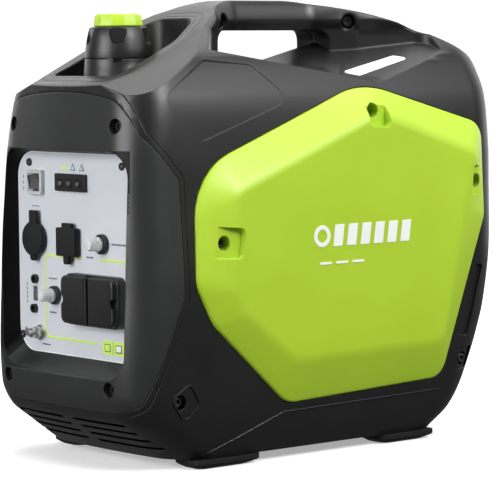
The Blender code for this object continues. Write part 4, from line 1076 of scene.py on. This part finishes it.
def make_prints():
    rows = dashes(0.0600, 0.2175, (0.0022, 0.0030, 0.0014, 0.0036, 0.0022, 0.0014, 0.0030, 0.0022))
    rows += dashes(0.0180, 0.2025, (0.0030, 0.0022, 0.0040))
    rows += dashes(-0.0480, 0.1775, (0.0022, 0.0014, 0.0030, 0.0022, 0.0014), 0.0015)
    rows += dashes(-0.0470, 0.1430, (0.0022, 0.0030, 0.0022, 0.0014))
    rows += dashes(-0.0600, 0.1095, (0.0022, 0.0045, 0.0014, 0.0022), 0.0015)
    rows += dashes(-0.0760, 0.2500, (0.0014, 0.0022, 0.0014, 0.0030, 0.0014), 0.0010)
    for k in range(5):
        rows.append(rectangle(0.0005, 0.1500 + 0.0045 * k, 0.1528 + 0.0045 * k, 0.0002, -0.0865, 2))
    rows += [rectangle(0.0005, z, z + 0.0030, 0.0002, -0.0905, 2) for z in (0.2660, 0.2720, 0.2780)]
    flat("panel_marks", rows, INK, "panel")
    signs = []
    for x in (-0.0035, 0.0115):
        signs.append([(x - 0.0042, 0.2880), (x + 0.0042, 0.2880), (x, 0.2955)])
    flat("lamp_signs", signs, INK, "panel")
    faces = []  # the signs' pale faces, a little smaller round the same middle
    for sign in signs:
        a = sign[2][0]
        b = SIGN_MIDDLE
        faces.append([(a + (x - a) * 0.62, b + (z - b) * 0.62) for x, z in sign])
    flat("lamp_sign_faces", faces, PANEL, "panel", 0.0005)
    flat("lamp_sign_lime", [rectangle(0.0050, 0.2893, 0.2925, 0.0010, -0.0185, 3)], LINE, "panel")
    flat("panel_label", [rectangle(0.0182, 0.1078, 0.1215, 0.0006, 0.0610, 3)], LINE, "panel", 0.0004)
    signs = [rectangle(0.0002, 0.1080, 0.1213, 0.0001, 0.0610, 2)]
    signs.append(rectangle(0.0050, 0.1105, 0.1185, 0.0016, 0.0518, 4))
    signs.append(rectangle(0.0052, 0.1105, 0.1185, 0.0012, 0.0702, 4))
    flat("label_signs", signs, INK, "panel", 0.0006)
    signs = [rectangle(0.0040, 0.1114, 0.1176, 0.0012, 0.0518, 4)]
    flat("label_sign_face", signs, LINE, "panel", 0.0008)
    flat("label_sign_pages", [rectangle(0.0040, 0.1116, 0.1176, 0.0008, 0.0702, 4)], PALE, "panel", 0.0008)


def make_eco_switch():
    x, z = ECO_AT
    shell = pad(x, z, 0.0125, 0.0125, FRONT, FRONT - 0.0052, 0.0022, 0.0012)
    join(shell, panel_block(x, z, 0.0110, 0.0105, FRONT - 0.001, FRONT + 0.020))
    cut(shell, panel_block(x, z, 0.0098, 0.0090, FRONT - 0.008, FRONT + 0.012))
    place(shell, "eco_frame", "white", CLEAR, ["eco_switch_body"])
    outline = [
        (FRONT - 0.0066, z + 0.0068),
        (FRONT - 0.0050, z + 0.0050),
        (FRONT - 0.0034, z),
        (FRONT - 0.0034, z - 0.0050),
        (FRONT - 0.0038, z - 0.0068),
        (FRONT + 0.0040, z - 0.0072),
        (FRONT + 0.0040, z + 0.0072),
    ]
    key = prism(outline, "X", x - 0.0092, x + 0.0092)
    place(key, "eco_rocker_key", "black", SMOKE, ["eco_switch_rocker"], body="eco_rocker")


def make_indicator():
    x, z = LAMP_AT
    block = pad(x, z, 0.0255, 0.0088, FRONT, FRONT - 0.0040, 0.0010, 0.0006)
    lamps = []
    for k in range(3):
        lamp_x = x - 0.0150 + 0.0150 * k
        cut(block, rod_y(lamp_x, z - 0.001, FRONT - 0.01, FRONT - 0.0026, 0.0042))
        profile = [(0.0, 0.0), (0.0030, 0.0), (0.0030, 0.0020), (0.0022, 0.0031), (0.0, 0.0036)]
        lamps.append(panel_turned(profile, lamp_x, z - 0.001, FRONT - 0.0026, 32))
    place(block, "indicator_housing", "black", BLACK, ["indicator_block", "indicator_lamps"])
    for k, dome in enumerate(lamps, 1):
        place(dome, f"indicator_lamp_{k}", "white", SMOKE)


def make_caps():
    x, z = DC_AT
    front = FRONT - 0.0025 - GAP
    profile = [(0.0, 0.0), (0.0172, 0.0), (0.0175, 0.0006), (0.0175, 0.0040)]
    profile += [(0.0168, 0.0049), (0.0155, 0.0052), (0.0, 0.0052)]
    disc = panel_turned(profile, x, z, front, 64)
    strap = rectangle(0.0062, z + 0.010, z + 0.0290, 0.0012, x)
    join(disc, cushion(strap, "Y", front - 0.0003, front - 0.0038, 0.0008))
    tab = rectangle(0.0048, z - 0.0225, z - 0.010, 0.0036, x)
    join(disc, cushion(tab, "Y", front - 0.0008, front - 0.0042, 0.0010))
    place(disc, "dc_cap_rubber", "rubber", RUBBER, ["dc_socket_cap"], body="dc_cap")
    x, z = USB_AT
    front = FRONT - 0.0022 - GAP
    block = pad(x, z, 0.0157, 0.0143, front, front - 0.0062, 0.0014, 0.0008)
    strap = rectangle(0.0078, z + 0.010, z + 0.0190, 0.0012, x)
    join(block, cushion(strap, "Y", front - 0.0003, front - 0.0048, 0.0008))
    tab = [(-0.0052, -0.0225), (0.0030, -0.0225), (0.0050, -0.010), (-0.0050, -0.010)]
    tab = rounded([(x + a, z + b) for a, b in tab], [0.0030, 0.0030, 0.001, 0.001])
    join(block, cushion(tab, "Y", front - 0.0008, front - 0.0050, 0.0010))
    place(block, "usb_cap_rubber", "rubber", RUBBER, ["usb_socket_cap"], body="usb_cap")


BOOT = [
    (0.0053, -0.001),
    (0.0063, -0.001),
    (0.0063, 0.0050),
    (0.0074, 0.0062),
    (0.0074, 0.0082),
    (0.0061, 0.0094),
    (0.0060, 0.0170),
    (0.0050, 0.0192),
    (0.0, 0.0196),
    (0.0, 0.0184),
    (0.0044, 0.0182),
    (0.0053, 0.0166),
]


def make_breaker(name, at, ring):
    """A breaker's ring nut and the clear boot over its button."""
    profile = [(0.0064, 0.0), (ring, 0.0), (ring, 0.0030), (ring - 0.0010, 0.0044), (0.0064, 0.0044)]
    place(panel_turned(profile, *at), name + "_nut", "black", BLACK)
    place(panel_turned(BOOT, *at), name + "_boot", "white", CLEAR)


def make_outlet():
    middle, mid_z = OUTLET_MIDDLE
    body = pad(middle, mid_z, 0.0450, 0.0255, FRONT, BOX_FRONT, 0.0080, 0.0012)
    join(body, panel_block(middle, mid_z, 0.0400, 0.0220, FRONT - 0.001, FRONT + 0.024, 0.002))
    for end in OUTLET_X:
        x = (end + RIDGE_X) / 2
        cut(body, panel_block(x, mid_z, 0.0140, 0.0185, BOX_FRONT - 0.01, BOX_FRONT + 0.014, 0.004))
        for slot in (-0.0063, 0.0063):
            low = (x + slot - 0.0012, BOX_FRONT, mid_z - 0.004)
            cut(body, box(low, (x + slot + 0.0012, BOX_FRONT + 0.028, mid_z + 0.004)))
    ridge = (RIDGE_X - 0.0092, BOX_FRONT - 0.01, FLAP_Z[0] - 0.001)
    cut(body, box(ridge, (RIDGE_X + 0.0092, BOX_FRONT + 0.0022, FLAP_Z[1] + 0.001)))
    place(body, "outlet_housing", "black", BLACK, ["ac_outlet_box"])
    front = BOX_FRONT - GAP
    for name, end, toward in (("left", OUTLET_X[0], 1), ("right", OUTLET_X[1], -1)):
        tip = end + toward * 0.001
        inner = RIDGE_X - toward * 0.0012
        corners = [(tip, FLAP_Z[0]), (inner, FLAP_Z[0]), (inner, FLAP_Z[1]), (tip, FLAP_Z[1])]
        shape = rounded(corners, [0.0072, 0.0012, 0.0012, 0.0072], 8)
        flap = cushion(shape, "Y", front, front - 0.0058, 0.0024)
        cut(flap, rod_y(tip, mid_z, front - 0.02, front + 0.01, 0.0050))
        place(flap, "flap_moulding_" + name, "black", BLACK, ["outlet_flap_" + name], body="flap_" + name)


def make_panel_hardware():
    back = PANEL_Y + PANEL_T + GAP
    (upper_x, upper_z), (lower_x, lower_z) = PARALLEL_AT
    ports = box((lower_x - 0.0050, back, lower_z), (upper_x + 0.0050, back + 0.012, upper_z))
    for x, z in PARALLEL_AT:
        join(ports, rod_y(x, z, FRONT - 0.0034, FRONT + 0.014, 0.0046))
    for x, z in PARALLEL_AT:
        cut(ports, rod_y(x, z, FRONT - 0.01, FRONT + 0.012, 0.0024))
    place(ports, "parallel_ports", "black", BLACK, ["parallel_sockets"])
    flat("parallel_plate", [rectangle(0.0030, 0.1530, 0.1680, 0.0006, -0.0715, 3)], INK, "panel", 0.0010)
    face = rectangle(0.0018, 0.1545, 0.1665, 0.0004, -0.0712, 3)
    flat("parallel_plate_face", [face], STEEL, "steel", 0.0013)
    x, z = GROUND_AT
    profile = [(0.0, 0.0), (0.0078, 0.0), (0.0078, 0.0009), (0.0072, 0.0012), (0.0, 0.0012)]
    washer = panel_turned(profile, x, z)
    stud = rod_y(x, z, FRONT - 0.0010, FRONT - 0.0062, 0.0062, 6)
    join(stud, washer, rod_y(x, z, FRONT - 0.0050, FRONT - 0.0158, 0.0029))
    join(stud, rod_y(x, z, FRONT - 0.0070, FRONT - 0.0120, 0.0048))
    for side in (-1, 1):
        wing = [(0.003, -0.002), (0.011, -0.001), (0.011, 0.0055), (0.003, 0.002)]
        join(stud, prism([(x + side * a, z + b) for a, b in wing], "Y", FRONT - 0.0110, FRONT - 0.0088))
    for k in range(4):
        thread = [(0.0026, 0.0), (0.004, 0.0003), (0.004, -0.0003)]
        cut(stud, panel_turned(thread, x, z, FRONT - 0.0128 - 0.0007 * k, 32))
    place(stud, "ground_bolt", "brass", STEEL, ["ground_terminal"])


# ---- starter, switch, feet ----------------------------------------------------------------------
def make_starter():
    y, z = ROPE_AT
    bar = four_corners(0.0080, z - 0.033, z + 0.033, y)
    levels = [(0.1318, 0.0), (0.1330, 0.0016), (0.1350, 0.0028), (0.1400, 0.0030)]
    levels += [(0.1430, 0.0024), (0.1444, 0.0008), (0.1448, -0.0012)]
    grip = loft([[(-x, a, b) for a, b in rounded(grown(bar, grow), 0.0065 + grow)] for x, grow in levels])
    join(grip, rod_x(-0.1303, -0.1330, y, z, 0.0070))
    for k in (-2, -1, 1, 2):
        cut(grip, rod_y(-0.1458, z + 0.0095 * k, y - 0.02, y + 0.02, 0.0022, 20))
    place(grip, "starter_handle", "black", RUBBER, ["starter_grip"], body="pull")
    count = 160
    rings = []
    for k in range(count + 1):
        x = -0.060 - 0.0795 * k / count
        ring = []
        for n in range(16):
            t = 2.0 * math.pi * n / 16
            r = 0.0019 + 0.0002 * math.cos(3.0 * t + 0.45 * k)
            ring.append((x, y + r * math.cos(t), z + LIFT + r * math.sin(t)))
        rings.append(ring)
    rope = loft(rings)
    rope.name = "rope_strand"
    rope.data.name = "rope_strand"
    rope.data.materials.append(ROPE)
    rope.data.shade_smooth()
    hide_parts("starter_rope")
    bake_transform(rope)


def make_engine_switch():
    y, z = KNOB_AT
    low = -(KNOB_FLOOR + GAP)
    disc = turned(
        [(0.0, 0.0), (0.0205, 0.0), (0.0205, 0.0020), (0.0196, 0.0030), (0.0, 0.0034)],
        (low, y, z),
        (-1, 0, 0),
        64,
    )
    join(disc, cushion(rectangle(0.005, z - 0.019, z + 0.019, 0.0035, y), "X", low - 0.002, -0.1445, 0.0014))
    join(disc, rod_x(-0.1180, low - 0.001, y, z, 0.0038))
    place(disc, "engine_switch_grip", "black", BLACK, ["engine_switch_knob"], body="engine_switch")
    mark = prism(rectangle(0.0009, z + 0.010, z + 0.0175, 0.0004, y), "X", -0.1448, -0.1440)
    place(mark, "engine_switch_mark", "white", WHITE, body="engine_switch")


def make_feet():
    for side, x in (("left", -0.103), ("right", 0.103)):
        for end, y0, y1 in (("front", -0.172, -0.090), ("rear", 0.075, 0.150)):
            rings = []
            for z, half, first, last in (
                (-LIFT, 0.0135, 0.0080, 0.0140),
                (-0.0054, 0.0150, 0.0060, 0.0120),
                (-0.0022, 0.0200, 0.0010, 0.0020),
                (-0.0010, 0.0210, 0.0, 0.0),
                (TRAY_LOW - GAP, 0.0210, 0.0, 0.0),
            ):
                rings.append([(a, b, z) for a, b in rectangle(half, y0 + first, y1 - last, 0.008, x)])
            foot = loft(rings)
            name = f"foot_{end}_{side}"
            place(foot, "pad_" + name, "rubber", RUBBER, [name])


# ---- marks on the body --------------------------------------------------------------------------
def make_emblems():
    """Plain slanted bars and a ring on each cover's flat face; no lettering."""
    for word, side in SIDES:
        shapes = []
        for k in range(6):
            y = -0.012 + 0.0185 * k
            shapes.append([(y, 0.2080), (y + 0.0125, 0.2080), (y + 0.0155, 0.2300), (y + 0.0030, 0.2300)])
        for k in range(3):
            shapes.append(four_corners(0.008, 0.1900, 0.1925, -0.022 + 0.022 * k))
        low = side * (COVER_FACE - 0.0003)
        high = side * (COVER_FACE + 0.0004)
        place(plates(shapes, "X", low, high), f"cover_bars_{word}", "white", PALE)
        disc = rod_x(low, high, -0.0265, 0.219, 0.0110, 48)
        cut(disc, rod_x(side * 0.13, side * 0.15, -0.0265, 0.219, 0.0065, 40))
        place(disc, f"cover_ring_{word}", "white", PALE)


def make_shelf_label():
    """A blank label lying on the trough's rear floor."""
    outline = rounded([(0.072, 0.066), (0.089, 0.075), (0.089, 0.145), (0.075, 0.136)], 0.003)
    base, along, outward = FLOOR_REAR
    rings = [
        [(x, y, base + along * y + outward * x + up) for x, y in outline] for up in (-0.0004, 0.0005)
    ]
    place(loft(rings), "shelf_label", "white", PALE)


make_shells()
for word, side in SIDES:
    make_side_cover(side, f"cover_moulding_{word}", f"{word}_side_cover")
make_screws()
for make_ridge in (make_screw_frame, make_crease):
    for word, side in SIDES:
        make_ridge(side, word)
make_filler()
make_panel()
make_prints()
make_eco_switch()
make_indicator()
make_caps()
make_breaker("dc_breaker", DC_BREAKER_AT, 0.0100)
make_breaker("ac_breaker", AC_BREAKER_AT, 0.0095)
make_outlet()
make_panel_hardware()
make_starter()
make_engine_switch()
make_feet()
make_emblems()
make_shelf_label()
dress_nodes()


# ---- studio -------------------------------------------------------------------------------------
RING_RADIUS = 11.5
RING_SIDES = 48


def make_stage():
    """A pale floor that brightens away from the part, a white ring far round it, and a reflector."""
    floor = sheet("floor", [(-12, -12, 0), (12, -12, 0), (12, 12, 0), (-12, 12, 0)])
    paper(floor, 0.38, 1.0)
    turns = [k * math.tau / RING_SIDES for k in range(RING_SIDES)]
    wide = [(RING_RADIUS * math.cos(t), RING_RADIUS * math.sin(t)) for t in turns]
    ring = sheet("ring", [(x, y, z) for z in (-0.2, 9.0) for x, y in wide], RING_SIDES)
    paper(ring, 1.0, 1.0)
    middle = Vector((-2.2, 1.8, 0))
    across = Vector((3.6, 4.4, 0))
    up = Vector((0, 0, 4.0))
    left, right = middle - across, middle + across
    reflector = sheet("reflector", [left, right, right + up, left + up])
    paper(reflector, 1.0, 1.0)
    for paper_sheet in (floor, ring, reflector):
        paper_sheet.visible_diffuse = False
    floor.visible_glossy = False
    ring.visible_glossy = False
    reflector.visible_camera = False


def sheet(name, corners, sides=0):
    """One flat face, or the wall between two rings of corners."""
    bm = bmesh.new()
    verts = [bm.verts.new(corner) for corner in corners]
    if sides:
        for k in range(sides):
            after = (k + 1) % sides
            bm.faces.new([verts[k], verts[after], verts[sides + after], verts[sides + k]])
    else:
        bm.faces.new(verts)
    mesh = bpy.data.meshes.new(name)
    bm.to_mesh(mesh)
    bm.free()
    made = bpy.data.objects.new(name, mesh)
    bpy.context.scene.collection.objects.link(made)
    return made


def paper(ob, near, far):
    """White paper, mottled a little, whose glow runs from one amount at the part to another further off."""
    made = bpy.data.materials.new(ob.name + " paper")
    made.use_nodes = True
    tree = made.node_tree
    link = tree.links.new
    shader = tree.nodes["Principled BSDF"]
    tint = node(tree, "Mix", data_type="RGBA")
    link(noise(tree, 3.0), tint.inputs["Factor"])
    tint.inputs["A"].default_value = (0.87, 0.87, 0.87, 1.0)
    tint.inputs["B"].default_value = (0.89, 0.89, 0.89, 1.0)
    link(tint.outputs["Result"], shader.inputs["Base Color"])
    shader.inputs["Roughness"].default_value = 0.8
    shader.inputs["Emission Color"].default_value = (1.0, 1.0, 1.0, 1.0)
    where = node(tree, "TexCoord")
    away = node(tree, "VectorMath", operation="LENGTH")
    link(where.outputs["Object"], away.inputs[0])
    glow = ranged(tree, away.outputs["Value"], near, far, 0.6, 3.2)
    link(glow, shader.inputs["Emission Strength"])
    ob.data.materials.append(made)


def make_light(name, at, aim, size, power, size_y=None):
    data = bpy.data.lights.new(name, "AREA")
    data.shape = "RECTANGLE"
    data.size = size
    data.size_y = size if size_y is None else size_y
    data.energy = power
    lamp = bpy.data.objects.new(name, data)
    lamp.location = at
    lamp.rotation_euler = (Vector(aim) - Vector(at)).to_track_quat("-Z", "Y").to_euler()
    bpy.context.scene.collection.objects.link(lamp)


def make_world():
    world = bpy.data.worlds.new("studio")
    world.use_nodes = True
    back = world.node_tree.nodes["Background"]
    back.inputs["Color"].default_value = (1.0, 1.0, 1.0, 1.0)
    back.inputs["Strength"].default_value = 0.15
    bpy.context.scene.world = world


def make_camera():
    data = bpy.data.cameras.new("camera")
    data.lens = CAMERA_LENS
    data.sensor_width = 36.0
    data.sensor_fit = "AUTO"
    data.clip_end = 50.0
    camera = bpy.data.objects.new("camera", data)
    ahead = Vector((-math.sin(CAMERA_AZIMUTH), math.cos(CAMERA_AZIMUTH), 0.0))
    right = Vector((ahead.y, -ahead.x, 0.0))
    look = ahead - right * CAMERA_SIDE - Vector((0, 0, CAMERA_DOWN))
    camera.location = CAMERA_AT
    roll = Matrix.Rotation(CAMERA_ROLL, 3, "Z")
    camera.rotation_euler = (look.to_track_quat("-Z", "Y").to_matrix() @ roll).to_euler()
    bpy.context.scene.collection.objects.link(camera)
    bpy.context.scene.camera = camera


CAMERA_AT = (2.041, -1.687, 0.4057 + LIFT)
CAMERA_LENS = 180.8
CAMERA_AZIMUTH = math.radians(50.474)
CAMERA_ROLL = math.radians(-0.516)
CAMERA_DOWN = 0.0793  # how far the view falls in each metre ahead
CAMERA_SIDE = 0.00115  # how far it swings to the left in each metre ahead
make_stage()
make_world()
make_light("overhead", (0.1, 0.1, 2.1), (0, 0, 0.2), 2.4, 52.0, 2.2)
make_light("front", (0.1, -2.6, 0.9), (0, 0, 0.22), 1.5, 60.0, 1.5)
make_light("right", (2.7, 0.5, 2.1), (0, 0, 0.25), 1.2, 78.0)
make_light("back", (2.2, 1.8, 1.75), (0, 0, 0.25), 1.5, 20.0)
make_camera()
bpy.context.scene.view_settings.view_transform = "Standard"
